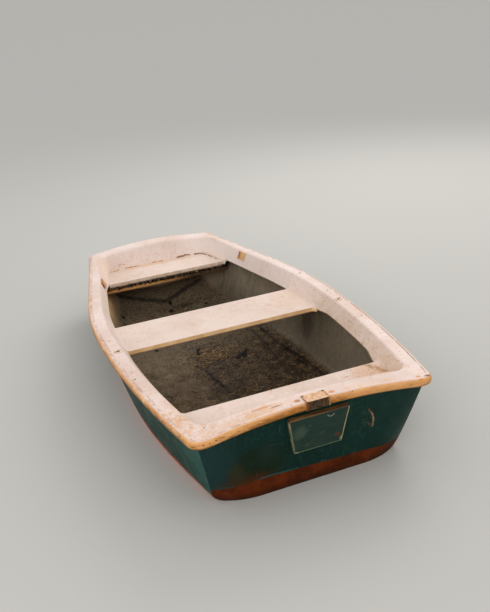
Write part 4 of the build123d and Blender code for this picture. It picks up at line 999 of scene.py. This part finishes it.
# -------------------------------------------------------------------- deck
def build_deck():
    loop = well_loop(0.009, cuts=(0.8174, 0.8186))
    outer = rim_loop()
    seg = [(Vector(outer[i][:2]), Vector(outer[(i + 1) % len(outer)][:2])) for i in range(len(outer))]
    A = np.array([[s[0].x, s[0].y] for s in seg])
    D = np.array([[s[1].x - s[0].x, s[1].y - s[0].y] for s in seg])

    def hit(x, y, nx, ny):
        """First crossing of the deck's outer edge along the normal."""
        den = nx * D[:, 1] - ny * D[:, 0]
        den = np.where(abs(den) < 1e-12, 1e-12, den)
        rx, ry = A[:, 0] - x, A[:, 1] - y
        t = (rx * D[:, 1] - ry * D[:, 0]) / den
        u = (rx * ny - ry * nx) / den
        ok = (u >= -1e-6) & (u <= 1 + 1e-6) & (t > 0)
        return float(t[ok].min())

    rings = []
    for x, y, nx, ny in loop:
        # the turn from the rim into the inner face grows softer towards the bow
        T = (0.015 + 0.024 * smooth(y, 0.35, 0.95) * (1.0 if x < 0 or ny > 0.5 else 0.5)) * math.tan(math.radians(30))
        tw = wall_tan(x, y, ny)
        ze = Z_RIM
        for _ in range(12):
            k = (ze - Z_RIM) * tw
            ze = Z_RIM + arch(x + nx * k, y + ny * k)
        e = (ze - Z_RIM) * tw
        t = hit(x, y, nx, ny)
        zb = Z_LIP + lip_rise(y) if y < 0.818 else Z_BOWWALL

        def P(d, z):
            return (x + nx * d, y + ny * d, z)

        def top(d):
            return Z_RIM + arch(x + nx * d, y + ny * d)

        ring = [P(t, top(t) - 0.005), P(t, top(t) - 0.0016), P(t - 0.0006, top(t) - 0.0005), P(t - 0.0018, top(t))]
        f = e + T
        for s in (0.2, 0.4, 0.6, 0.8, 1.0):
            d = (t - 0.0018) + (f - (t - 0.0018)) * s
            ring.append(P(d, top(d) + 0.0006 * math.sin(math.pi * s)))
        zf = top(f)
        wa = math.atan(tw)
        sx, sz = -math.sin(wa), -math.cos(wa)
        S = (e + sx * T, ze + sz * T)
        for i in range(1, 7):
            u = i / 6
            d = (1 - u) ** 2 * f + 2 * u * (1 - u) * e + u * u * S[0]
            z = (1 - u) ** 2 * zf + 2 * u * (1 - u) * ze + u * u * S[1]
            ring.append(P(d, z))
        for s in (0.2, 0.4, 0.6, 0.8, 1.0):
            z = S[1] + (zb + 0.004 - S[1]) * s
            ring.append(P((z - Z_RIM) * tw, z))
        zc = zb
        base = (zc - Z_RIM) * tw
        ring.append(P(base + 0.0004, zc + 0.0012))
        ring.append(P(base + 0.0018, zc + 0.0001))
        ring.append(P(base + 0.0040, zc + 0.0001))
        ring.append(P(base + WALL, zc + 0.0016))
        for s in (0.33, 0.66, 1.0):
            z = zc + 0.002 + (Z_RIM - 0.0075 - zc) * s
            ring.append(P((z - Z_RIM) * tw + WALL, z))
        back = -0.0055 * tw + WALL
        for s in (0.3, 0.65):
            d = back + (t - back) * s
            ring.append(P(d, top(d) - 0.005))
        rings.append(ring)
    verts, faces = sweep_closed(rings, True)
    ob = make_object("gunwale_moulding", verts, faces, M_DECK, angle=50)
    for side in (-1, 1):
        bm = bmesh.new()
        bmesh.ops.create_cone(bm, cap_ends=True, segments=40, radius1=0.0125, radius2=0.0125, depth=0.06,
                              matrix=Matrix.Translation((side * 0.542, -0.337, 0.352)))
        cm = bpy.data.meshes.new("cutter")
        bm.to_mesh(cm)
        bm.free()
        cut = bpy.data.objects.new("cutter", cm)
        bpy.context.scene.collection.objects.link(cut)
        md = ob.modifiers.new("hole", "BOOLEAN")
        md.operation = "DIFFERENCE"
        md.solver = "EXACT"
        md.object = cut
        bpy.context.view_layer.update()
        dg = bpy.context.evaluated_depsgraph_get()
        new = bpy.data.meshes.new_from_object(ob.evaluated_get(dg))
        ob.modifiers.clear()
        ob.data = new
        bpy.data.objects.remove(cut)
    ob.data.name = "gunwale_moulding"
    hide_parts("deck_moulding")
    return ob


deck = build_deck()

# --------------------------------------------------- seats, strakes, fittings
for n in ("centre_thwart", "stern_seat", "bow_seat"):
    skin(n, M_SEAT, bevel=0.004 if n != "bow_seat" else 0.0035, segments=4, angle=50)


def build_strake(name, side):
    """Half of the rubbing strake, swept along the deck's edge: level with the deck
    at port and across the stern, a little lower with an open joint at starboard."""
    half = half_outline(0.0, Y_STERN, Y_BOW, 0.030, 0.064 if side > 0 else 0.082, 0.006)
    prof = [(-0.0020, 0.0003), (0.0, 0.0001), (0.0040, 0.0002), (0.0070, 0.0009), (0.0100, 0.0023), (0.0128, 0.0047),
            (0.0150, 0.0080), (0.0166, 0.0120), (0.0176, 0.0160), (0.0180, 0.0200), (0.0178, 0.0245), (0.0168, 0.0285),
            (0.0150, 0.0318), (0.0122, 0.0342), (0.0088, 0.0356), (0.0050, 0.0360), (-0.0004, 0.0360), (-0.0008, 0.0200), (-0.0012, 0.0060)]
    rings = []
    for x, y, nx, ny in half:
        loose = 0.0
        if side > 0:
            loose = min(1.0, max(0.0, (y + 1.190) / 0.05)) * min(1.0, max(0.0, (1.150 - y) / 0.08))
            loose = loose * loose * (3 - 2 * loose)
        ring = []
        for out, down in prof:
            drop = 0.0022 * loose
            if out < 0.002:
                out = out + (0.0016 + 0.0012 - out * 0.6) * loose if out < 0.0001 else out
            if down > 0.03:
                drop = 0.0
            wav = 0.0005 * noise.noise(Vector((x * 9, y * 9, side * 3.0 + 7.0)))
            px, py = x + nx * (out + wav), y + ny * (out + wav)
            ring.append((side * max(px, 0.0002), py, Z_RIM + arch(px, y) - down - drop + wav * 0.6))
        rings.append(ring)
    verts, faces = sweep_closed(rings, False)
    ob = make_object(name + "_swept", verts, faces, M_STRAKE, angle=50)
    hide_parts(name)
    return ob


build_strake("strake_port", -1)
build_strake("strake_starboard", 1)
skin("bow_seat_beam", M_BEAM, bevel=0.001, segments=2, angle=40)
for n in ("keel", "bilge_runner_port", "bilge_runner_starboard"):
    skin(n, M_OUT, bevel=0.003, segments=3, angle=40)
skin("motor_pad", M_PAD, bevel=0.0012, segments=2, angle=25)
skin("clamp_plate", M_PLATE, bevel=0.0004, segments=2, angle=40)
for n in ("mooring_eye", "bow_eye"):
    skin(n, M_STEEL, angle=40)
skin("eye_backing", M_STEEL, bevel=0.0006, segments=2, angle=30)
for n in ("rowlock_socket_port", "rowlock_socket_starboard"):
    skin(n, M_SOCKET, bevel=0.0004, segments=2, angle=35)
for n in ("cheek_port", "cheek_starboard"):
    skin(n, M_AMBER, bevel=0.0010, segments=2, angle=40)


# ------------------------------------------------------------- cove fillets
def cove(name, pts, z, rad, mat, up=1.0):
    """A concave bead where a seat meets the sloping face: pts are well-outline samples."""
    rings = []
    for x, y, nx, ny in pts:
        d0 = (z - Z_RIM) * wall_tan(x, y, ny) - 0.0002
        a = (d0 - rad, z + 0.0001)
        b = (d0 + rad * up * 0.5, z + rad * up * 0.866)
        mid = (d0, z)
        ring = []
        for i in range(7):
            u = i / 6
            w = 0.82
            q0, q1, q2 = (1 - u) ** 2, 2 * u * (1 - u) * w, u * u
            s = q0 + q1 + q2
            d = (q0 * a[0] + q1 * mid[0] + q2 * b[0]) / s
            h = (q0 * a[1] + q1 * mid[1] + q2 * b[1]) / s
            ring.append((x + nx * d, y + ny * d, h))
        for d, h in ((b[0] + 0.0012, b[1]), (d0 + 0.0010, z - 0.0010), (a[0], z - 0.0012)):
            ring.append((x + nx * d, y + ny * d, h))
        rings.append(ring)
    verts, faces = sweep_closed(rings, False)
    return make_object(name, verts, faces, mat, angle=60)


FULL = well_loop(0.007, cuts=(THWART_AFT, THWART_FWD, STERNSEAT_FWD, BOWSEAT_AFT))
HALF = len(FULL) // 2


def part_of_loop(test):
    """The runs of neighbouring samples that pass the test."""
    n = len(FULL)
    keep = [test(p) for p in FULL]
    start = next(i for i in range(n) if keep[i] and not keep[i - 1])
    runs, i, cur = [], start, []
    for k in range(n):
        j = (start + k) % n
        if keep[j]:
            cur.append(FULL[j])
        elif cur:
            runs.append(cur)
            cur = []
    if cur:
        runs.append(cur)
    return runs


for i, run in enumerate(part_of_loop(lambda p: p[1] <= STERNSEAT_FWD + 1e-6)):
    cove("stern_seat_fillet", run, Z_STERNSEAT, 0.011, M_SEAT)
for i, run in enumerate(part_of_loop(lambda p: p[1] >= BOWSEAT_AFT - 1e-6)):
    cove("bow_seat_fillet", run, Z_BOWSEAT, 0.010, M_SEAT)
for i, run in enumerate(part_of_loop(lambda p: THWART_AFT - 1e-6 <= p[1] <= THWART_FWD + 1e-6)):
    cove("thwart_fillet_" + ("starboard" if run[0][0] > 0 else "port"), run, Z_THWART, 0.012, M_SEAT)


def gusset(name, yc, side, way, r, ztop, zbot, mat, zwall=None):
    """The rounded filling where a seat's edge at yc runs into the gunwale's inner face.
    way is +1 when the opening lies forward of the edge, -1 when it lies abaft."""
    best = min((p for p in FULL if p[0] * side > 0), key=lambda p: abs(p[1] - yc))
    x, y, nx, ny = best
    wall = Vector((ny * side * way, nx * side * -way, 0.0))
    if wall.y * way < 0:
        wall = -wall
    wall.normalize()
    edge = Vector((-side, 0.0, 0.0))
    half = edge.angle(wall) / 2
    rings = []
    levels = [(ztop + 0.0002, r - 0.0050), (ztop - 0.0004, r - 0.0036), (ztop - 0.0018, r - 0.0016), (ztop - 0.0040, r - 0.0004),
              (ztop - 0.0065, r), (zbot + 0.0015, r), (zbot, r - 0.0010)]
    steps = 12
    for z, rr in levels:
        d = (max(z, Z_LIP) - Z_RIM) * wall_tan(x, yc)
        c = Vector((x + nx * d, yc, 0.0))
        ln = rr / math.tan(half)
        mid = c + (edge + wall).normalized() * (rr / math.sin(half))
        a0, a1 = c + edge * ln - mid, c + wall * ln - mid
        back = -(edge + wall).normalized() * 0.006
        ring = [c + back, c + edge * (ln + 0.0005) - wall * 0.005, c + edge * (ln + 0.0005)]
        for i in range(steps + 1):
            u = i / steps
            v = (a0 * (1 - u) + a1 * u).normalized() * rr
            ring.append(mid + v)
        ring += [c + wall * (ln + 0.0005), c + wall * (ln + 0.0005) - edge * 0.004]
        lift = 0.0 if zwall is None else zwall - ztop
        rings.append([(p.x, p.y, z + lift * smooth((p - c).dot(wall) - (p - c).dot(edge), -r, r)) for p in ring])
    verts, faces = sweep_closed(rings, False)
    return make_object(name, verts, faces, mat, angle=40)


for name, yc, side, way, r, zt, zb in (
        ("gusset_thwart_aft_starboard", THWART_AFT, 1, -1, 0.022, Z_THWART, Z_THWART - 0.022),
        ("gusset_thwart_fwd_starboard", THWART_FWD, 1, 1, 0.022, Z_THWART, Z_THWART - 0.022),
        ("gusset_thwart_fwd_port", THWART_FWD, -1, 1, 0.010, Z_THWART, Z_THWART - 0.022),
        ("gusset_thwart_aft_port", THWART_AFT, -1, -1, 0.009, Z_THWART, Z_THWART - 0.022),
        ("gusset_stern_starboard", STERNSEAT_FWD, 1, 1, 0.024, Z_STERNSEAT, Z_STERNSEAT - 0.022),
        ("gusset_stern_port", STERNSEAT_FWD, -1, 1, 0.012, Z_STERNSEAT, Z_STERNSEAT - 0.022),
        ("gusset_bow_starboard", BOWSEAT_AFT, 1, -1, 0.024, Z_BOWSEAT, Z_BOWSEAT - 0.020),
        ("gusset_bow_port", BOWSEAT_AFT, -1, -1, 0.022, Z_BOWSEAT, Z_BOWSEAT - 0.020)):
    gusset(name, yc, side, way, r, zt, zb, M_SEAT, Z_LIP + 0.006 if name.startswith("gusset_bow") else None)


# -------------------------------------------------- screws and small fastenings
def screw_heads(name, items, mat):
    """Countersunk heads with a slot: (point, normal, radius)."""
    verts, faces = [], []
    for p, nrm, r in items:
        nrm = Vector(nrm).normalized()
        t = nrm.orthogonal().normalized()
        t.rotate(Matrix.Rotation(rng.uniform(0, 3.1), 3, nrm))
        s = nrm.cross(t)
        p = Vector(p)
        base = len(verts)
        prof = [(r, -0.0015), (r, 0.0003), (r * 0.86, 0.0009), (r * 0.45, 0.0011)]
        seg = 20
        for rr, h in prof:
            for i in range(seg):
                a = 2 * math.pi * i / seg
                dent = 0.0
                if rr < r * 0.9 and abs(math.sin(a)) < 0.16:
                    dent = -0.0007
                verts.append(p + t * (rr * math.cos(a)) + s * (rr * math.sin(a)) + nrm * (h + dent))
        c = len(verts)
        verts.append(p + nrm * 0.0004)
        verts.append(p - nrm * 0.0015)
        for k in range(len(prof) - 1):
            for i in range(seg):
                j = (i + 1) % seg
                faces.append((base + k * seg + i, base + k * seg + j, base + (k + 1) * seg + j, base + (k + 1) * seg + i))
        top = base + (len(prof) - 1) * seg
        for i in range(seg):
            j = (i + 1) % seg
            faces.append((top + i, top + j, c))
            faces.append((base + j, base + i, c + 1))
    return make_object(name, verts, faces, mat, angle=35)


ZP = Z_RIM + 0.038 + 0.0001 + 0.0025
screw_heads("clamp_plate_screws", [
    ((-0.045, -1.178, ZP), (0, 0, 1), 0.0042), ((0.035, -1.178, ZP), (0, 0, 1), 0.0042),
], M_SCREW)
screw_heads("rim_screws", [
    ((x, y, Z_RIM + arch(x, y) + 0.0002), (0, 0, 1), r) for x, y, r in (
        (-0.553, -0.20, 0.0034), (-0.536, -0.570, 0.0030), (-0.539, -0.640, 0.0040),
        (0.545, 0.110, 0.0030), (0.553, -0.20, 0.0034), (0.536, -0.57, 0.0030))
], M_SCREW)

# rowlock flange screws
items = []
for side in (-1, 1):
    for a in (0.6, 0.6 + math.pi):
        items.append(((side * 0.542 + 0.0142 * math.cos(a), -0.337 + 0.0142 * math.sin(a), Z_RIM + 0.0031), (0, 0, 1), 0.0019))
screw_heads("socket_screws", items, M_SCREW)


# ------------------------------------------------------------------ debris
def flakes(name, spots, mat, thick=(0.0004, 0.0012)):
    """Irregular small chips: (point, normal, size, length ratio)."""
    verts, faces = [], []
    for p, nrm, size, ratio in spots:
        nrm = Vector(nrm).normalized()
        t = nrm.orthogonal().normalized()
        t.rotate(Matrix.Rotation(rng.uniform(0, 2 * math.pi), 3, nrm))
        tilt = Matrix.Rotation(rng.uniform(-0.25, 0.25), 3, t)
        nn = nrm.copy()
        nn.rotate(tilt)
        s = nn.cross(t)
        th = rng.uniform(*thick)
        m = rng.choice((5, 6, 7))
        ring = []
        for i in range(m):
            a = 2 * math.pi * (i + rng.uniform(-0.3, 0.3)) / m
            rr = size * rng.uniform(0.55, 1.0)
            ring.append(t * (rr * ratio * math.cos(a)) + s * (rr * math.sin(a)))
        base = len(verts)
        p = Vector(p) + nrm * 0.0004
        for v in ring:
            verts.append(p + v)
        for v in ring:
            verts.append(p + v * 0.85 + nn * th)
        faces.append(tuple(base + i for i in range(m))[::-1])
        faces.append(tuple(base + m + i for i in range(m)))
        for i in range(m):
            j = (i + 1) % m
            faces.append((base + i, base + j, base + m + j, base + m + i))
    return make_object(name, verts, faces, mat, smooth=False)


def on_floor(x, y):
    """Point and normal of the hull's inner bottom under (x, y)."""
    ok, loc, nrm, idx = hull.ray_cast(Vector((x, y, 0.22)), Vector((0, 0, -1)))
    return (loc, nrm) if ok and loc.z < 0.2 else None


def scatter(clusters, sizes, ratios, keep=1.0, spread=1.0):
    out = []
    for cx, cy, sx, sy, n in clusters:
        for _ in range(int(n * keep)):
            x, y = rng.gauss(cx, sx * spread), rng.gauss(cy, sy * spread)
            if abs(x) > 0.44 or not (-1.05 < y < 0.98):
                continue
            h = on_floor(x, y)
            if h and h[1].z > 0.4:
                out.append((h[0], h[1], rng.choice(sizes) * rng.uniform(0.7, 1.3), rng.choice(ratios)))
    return out


CLUSTERS = [(0.05, -0.55, 0.16, 0.14, 300), (-0.12, -0.72, 0.14, 0.10, 120), (0.18, -0.35, 0.12, 0.10, 140),
            (-0.15, -0.40, 0.15, 0.14, 110), (0.10, -0.80, 0.2, 0.08, 70), (0.02, 0.20, 0.12, 0.10, 220),
            (0.10, 0.00, 0.14, 0.16, 160), (0.06, 0.86, 0.08, 0.06, 60), (-0.32, 0.80, 0.04, 0.05, 30),
            (0.42, -0.15, 0.02, 0.22, 90), (0.20, 0.40, 0.12, 0.08, 60)]
flakes("floor_litter", scatter(CLUSTERS, (0.0014, 0.0022, 0.0034, 0.0052), (1.0, 1.5, 2.4)), M_LITTER, (0.0006, 0.0022))
flakes("floor_grit", scatter(CLUSTERS, (0.0016, 0.0026, 0.0040), (1.0, 1.6), 0.35), M_BLACK, (0.0006, 0.0020))
flakes("floor_flakes", scatter(CLUSTERS, (0.0012, 0.0018, 0.0030), (1.0, 1.6), 0.30, 1.3), M_FLAKE)


def strands(name, items, mat):
    """Dry stalks lying on the floor: (x, y, heading, length, width)."""
    verts, faces = [], []
    for x, y, head, length, width in items:
        n = 5
        bend = rng.uniform(-0.5, 0.5)
        lift = rng.uniform(0.0004, 0.0045)
        pts = []
        for i in range(n):
            u = i / (n - 1) - 0.5
            a = head + bend * u
            px, py = x + math.cos(a) * length * u, y + math.sin(a) * length * u
            h = on_floor(px, py)
            if not h:
                break
            pts.append((Vector((px, py, h[0].z + lift * (0.4 + u * u * 3.0))), a))
        if len(pts) < n:
            continue
        base = len(verts)
        for i, (p, a) in enumerate(pts):
            w = width * (0.45 if i in (0, n - 1) else 1.0) * 0.5
            sx, sy = -math.sin(a) * w, math.cos(a) * w
            verts += [(p.x - sx, p.y - sy, p.z), (p.x + sx, p.y + sy, p.z), (p.x + sx * 0.5, p.y + sy * 0.5, p.z + w * 1.4),
                      (p.x - sx * 0.5, p.y - sy * 0.5, p.z + w * 1.4)]
        for i in range(n - 1):
            for k in range(4):
                m = (k + 1) % 4
                faces.append((base + i * 4 + k, base + i * 4 + m, base + (i + 1) * 4 + m, base + (i + 1) * 4 + k))
        faces.append((base, base + 1, base + 2, base + 3))
        e = base + (n - 1) * 4
        faces.append((e + 3, e + 2, e + 1, e))
    return make_object(name, verts, faces, mat, smooth=False)


items = []
for cx, cy, sx, sy, n in ((0.045, 0.215, 0.060, 0.045, 60), (-0.01, 0.26, 0.05, 0.05, 26), (0.10, 0.20, 0.05, 0.03, 24),
                          (-0.27, -0.23, 0.05, 0.04, 12), (0.05, -0.10, 0.12, 0.12, 22), (0.02, -0.45, 0.20, 0.16, 26),
                          (0.41, -0.20, 0.02, 0.15, 8), (0.05, 0.86, 0.05, 0.05, 8)):
    for _ in range(n):
        items.append((rng.gauss(cx, sx), rng.gauss(cy, sy), rng.gauss(0.25, 0.7), rng.uniform(0.010, 0.045), rng.uniform(0.0012, 0.0026)))
strands("floor_straw", items, M_STRAW)
items = []
for cx, cy, sx, sy, n in ((0.03, 0.24, 0.08, 0.06, 34), (0.0, 0.05, 0.10, 0.10, 20), (0.06, -0.35, 0.16, 0.16, 20)):
    for _ in range(n):
        items.append((rng.gauss(cx, sx), rng.gauss(cy, sy), rng.gauss(0.2, 0.8), rng.uniform(0.012, 0.050), rng.uniform(0.0012, 0.0030)))
strands("floor_twigs", items, M_LITTER)

# a dark clot of leaves, and smaller ones
spots = []
for x0, y0, x1, y1, n in ((0.150, 0.120, 0.232, 0.175, 44), (0.185, 0.110, 0.205, 0.150, 14), (-0.228, 0.404, -0.214, 0.408, 5), (0.395, 0.035, 0.425, 0.055, 10),
                          (-0.020, 0.290, 0.000, 0.350, 8), (0.004, 0.905, 0.014, 0.940, 8), (-0.025, 0.835, 0.004, 0.845, 8),
                          (0.202, 0.797, 0.208, 0.802, 4), (-0.318, 0.812, -0.306, 0.826, 6), (0.405, -0.10, 0.435, -0.22, 12),
                          (-0.05, 0.10, -0.02, -0.12, 14)):
    for _ in range(n):
        t = rng.random()
        x, y = x0 + (x1 - x0) * t + rng.gauss(0, 0.004), y0 + (y1 - y0) * t + rng.gauss(0, 0.004)
        h = on_floor(x, y)
        if h:
            spots.append((h[0] + Vector((0, 0, rng.uniform(0, 0.003))), h[1], rng.uniform(0.003, 0.0085), rng.choice((1.0, 1.5, 2.0))))
flakes("floor_clots", spots, M_BLACK, (0.001, 0.004))

# fibres and flakes hanging in the rotten gap under the bow seat's edge
spots = []
for _ in range(110):
    x = rng.uniform(-0.335, 0.335)
    z = rng.uniform(0.2195, 0.2370)
    spots.append(((x, BOWSEAT_AFT + 0.0060 + rng.uniform(-0.002, 0.008), z), (rng.uniform(-0.4, 0.4), -1, rng.uniform(-0.5, 0.5)),
                  rng.uniform(0.0015, 0.0046), rng.choice((1.0, 2.0, 3.0))))
flakes("rotten_fibres", spots, M_FLAKE, (0.0006, 0.002))
spots = []
for _ in range(150):
    x = rng.uniform(-0.335, 0.335)
    z = rng.uniform(0.2170, 0.2400)
    spots.append(((x, BOWSEAT_AFT + 0.0030 + rng.uniform(-0.002, 0.004), z), (rng.uniform(-0.4, 0.4), -1, rng.uniform(-0.5, 0.5)),
                  rng.uniform(0.002, 0.0060), rng.choice((1.0, 2.0, 3.0))))
flakes("rotten_clots", spots, M_BLACK, (0.0006, 0.002))


def crack(name, path, width, mat, lift=0.0008):
    """A broken, ragged line of lifted edge along a path of (point, normal)."""
    verts, faces = [], []
    for i in range(len(path) - 1):
        (p, n0), (q, n1) = path[i], path[i + 1]
        p, q, n0, n1 = Vector(p), Vector(q), Vector(n0).normalized(), Vector(n1).normalized()
        if noise.noise(p * 26.0) < -0.22 or (q - p).length > 0.02:
            continue
        w0 = width * (0.45 + 0.9 * abs(noise.noise(p * 70.0)))
        w1 = width * (0.45 + 0.9 * abs(noise.noise(q * 70.0)))
        d = (q - p).normalized()
        s0, s1 = n0.cross(d).normalized(), n1.cross(d).normalized()
        j0 = 0.9 * width * noise.noise(p * 120.0)
        j1 = 0.9 * width * noise.noise(q * 120.0)
        base = len(verts)
        for c, n_, s, w, j in ((p, n0, s0, w0, j0), (q, n1, s1, w1, j1)):
            c = c + s * j
            verts += [c - s * w - n_ * 0.002, c + s * w - n_ * 0.002, c + s * w * 0.6 + n_ * lift, c - s * w * 0.6 + n_ * lift]
        b = base
        faces += [(b, b + 4, b + 5, b + 1), (b + 1, b + 5, b + 6, b + 2), (b + 2, b + 6, b + 7, b + 3), (b + 3, b + 7, b + 4, b),
                  (b, b + 1, b + 2, b + 3), (b + 4, b + 7, b + 6, b + 5)]
    return make_object(name, verts, faces, mat, smooth=False)


# crack along the back of the bow seat, thin and flecked at port, wide and dark at starboard
def crack_path(pts, z):
    path = []
    for (ax, ay), (bx, by) in zip(pts, pts[1:]):
        n = max(2, int(math.hypot(bx - ax, by - ay) / 0.004))
        for i in range(n):
            t = i / n
            path.append(((ax + (bx - ax) * t, ay + (by - ay) * t, z), (0, -0.5, 0.86)))
    return path


def fallen(path):
    """Move a path onto what lies under it."""
    out = []
    dg = bpy.context.evaluated_depsgraph_get()
    for (x, y, z), n in path:
        ok, loc, nrm, idx, ob, mt = bpy.context.scene.ray_cast(dg, Vector((x, y, 0.345)), Vector((0, 0, -1)))
        if ok and loc.z < 0.32:
            out.append((tuple(loc), tuple(nrm)))
    return out


bpy.context.view_layer.update()
port_run = crack_path([(-0.289, 1.052), (-0.248, 1.060), (-0.203, 1.063), (-0.159, 1.061), (-0.093, 1.064), (-0.016, 1.064), (0.036, 1.062)], 0.262)
star_run = crack_path([(0.110, 1.064), (0.180, 1.066), (0.229, 1.065), (0.287, 1.058), (0.308, 1.021), (0.323, 0.950)], 0.262)
star_side = crack_path([(0.330, 0.930), (0.340, 0.872)], 0.262)
crack("bow_seat_crack_port", fallen(port_run), 0.0044, M_CRACK, 0.0018)
crack("bow_seat_crack_starboard", fallen(star_run), 0.0064, M_CRACKD, 0.0028)
crack("bow_seat_crack_side", fallen(star_side), 0.0036, M_CRACKD, 0.0018)
dashes = []
for x, y in ((-0.262, 1.0785), (-0.232, 1.0790), (-0.245, 1.0730), (-0.165, 1.0750), (-0.205, 1.0760), (-0.296, 1.0500), (-0.105, 1.0690), (-0.062, 1.0680)):
    half = rng.uniform(0.006, 0.013)
    x0, tilt = x + rng.gauss(0, 0.004), rng.uniform(-0.0012, 0.0012)
    dashes += crack_path([(x0 - half, y - tilt), (x0 + half, y + tilt)], 0.262)
crack("bow_seat_flecks", fallen(dashes), 0.0030, M_CRACK, 0.0014)

# a thin line of old sealant in the joint between the deck and the strake
M_JOINT = mat_litter("joint_sealant", (150, 106, 72), (112, 76, 48), (198, 156, 122))
line = [((x - nx * 0.0030, y - ny * 0.0030, Z_RIM + arch(x - nx * 0.003, y - ny * 0.003) + 0.0002), (0.0, 0.0, 1.0))
        for x, y, nx, ny in half_outline(0.0, Y_STERN, Y_BOW, 0.030, 0.064, 0.005) if nx > 0.75]
crack("deck_joint_starboard", line, 0.0017, M_JOINT, 0.0006)
line = [((-(x - nx * 0.0030), y - ny * 0.0030, Z_RIM + 0.0002), (0.0, 0.0, 1.0))
        for x, y, nx, ny in half_outline(0.0, Y_STERN, Y_BOW, 0.030, 0.082, 0.005) if nx > 0.9 and -0.9 < y < 0.9]
crack("deck_joint_port", line, 0.0010, M_JOINT, 0.0004)

# ------------------------------------------------------------------- stage
FL = bpy.data.materials.new("stage_floor")
FL.use_nodes = True
fb = FL.node_tree.nodes["Principled BSDF"]
fb.inputs["Base Color"].default_value = (0.50, 0.50, 0.48, 1)
fb.inputs["Roughness"].default_value = 0.75
fb.inputs["Specular IOR Level"].default_value = 0.2


def waterline_loop(steps=720):
    """The hull's outer section at the waterline, from its own faces."""
    segs = []
    me = hull_mesh
    for p in me.polygons:
        vs = [me.vertices[i].co for i in p.vertices]
        s = []
        for a, b in zip(vs, vs[1:] + vs[:1]):
            if (a.z > 0) != (b.z > 0):
                t = a.z / (a.z - b.z)
                s.append((a.x + (b.x - a.x) * t, a.y + (b.y - a.y) * t))
        if len(s) == 2:
            segs.append((*s[0], *s[1]))
    S = np.array(segs)
    cx, cy = 0.0, -0.25
    out = []
    for k in range(steps):
        a = 2 * math.pi * k / steps
        dx, dy = math.cos(a), math.sin(a)
        ex, ey = S[:, 2] - S[:, 0], S[:, 3] - S[:, 1]
        den = dx * ey - dy * ex
        den = np.where(abs(den) < 1e-12, 1e-12, den)
        rx, ry = S[:, 0] - cx, S[:, 1] - cy
        t = (rx * ey - ry * ex) / den
        u = (rx * dy - ry * dx) / den
        ok = (u >= -1e-4) & (u <= 1 + 1e-4) & (t > 0)
        out.append((a, float(t[ok].max())))
    return cx, cy, out


cx, cy, ring = waterline_loop()
verts, faces = [], []
radii = [(None, 0.0), (1.6, 0.0), (2.6, 0.0), (6.0, 0.0), (11.0, 0.0), (14.0, 0.35), (18.0, 1.5), (24.0, 4.0), (34.0, 10.0)]
for r, z in radii:
    for a, t in ring:
        rr = (t - 0.0024) if r is None else r
        verts.append((cx + rr * math.cos(a), cy + rr * math.sin(a), z))
n = len(ring)
for k in range(len(radii) - 1):
    for i in range(n):
        j = (i + 1) % n
        faces.append((k * n + i, k * n + j, (k + 1) * n + j, (k + 1) * n + i))
floor = make_object("stage_floor", verts, faces, FL, smooth=True, body=None)

world = bpy.data.worlds.new("studio")
bpy.context.scene.world = world
world.use_nodes = True
bg = world.node_tree.nodes["Background"]
bg.inputs[0].default_value = (1.0, 0.98, 0.965, 1)
bg.inputs[1].default_value = 0.94


def area(name, loc, target, size, power, color):
    li = bpy.data.lights.new(name, "AREA")
    li.shape = "RECTANGLE"
    li.size, li.size_y = size
    li.energy = power
    li.color = color
    ob = bpy.data.objects.new(name, li)
    bpy.context.scene.collection.objects.link(ob)
    ob.location = loc
    ob.rotation_euler = (Vector(target) - Vector(loc)).to_track_quat("-Z", "Y").to_euler()
    return ob


area("key", (3.4, 3.2, 4.2), (0, 0, 0.2), (3.2, 3.2), 105, (1.0, 0.96, 0.90))
area("fill", (-3.0, -4.6, 2.6), (0, -0.8, 0.2), (4.0, 2.4), 70, (1.0, 0.96, 0.92))

# ------------------------------------------------------------------ camera
cam = bpy.data.cameras.new("camera")
cam.sensor_fit = "HORIZONTAL"
cam.sensor_width = 36.0
cam.lens = 749.65 / 490.0 * 36.0
cam.clip_end = 200
pitch, yaw, roll = math.radians(21.878), math.radians(19.060), math.radians(-5.741)
fwd = Vector((math.sin(yaw) * math.cos(pitch), math.cos(yaw) * math.cos(pitch), -math.sin(pitch)))
r0 = Vector((math.cos(yaw), -math.sin(yaw), 0.0))
u0 = r0.cross(fwd)
right = math.cos(roll) * r0 + math.sin(roll) * u0
up = -math.sin(roll) * r0 + math.cos(roll) * u0
rot = Matrix((right, up, -fwd)).transposed()
cam_ob = bpy.data.objects.new("camera", cam)
bpy.context.scene.collection.objects.link(cam_ob)
cam_ob.matrix_world = Matrix.Translation((-0.979, -3.355, 1.713)) @ rot.to_4x4()
bpy.context.scene.camera = cam_ob

vs = bpy.context.scene.view_settings
vs.view_transform = "Standard"
vs.look = "None"
vs.exposure = 0.0

bpy.context.view_layer.update()
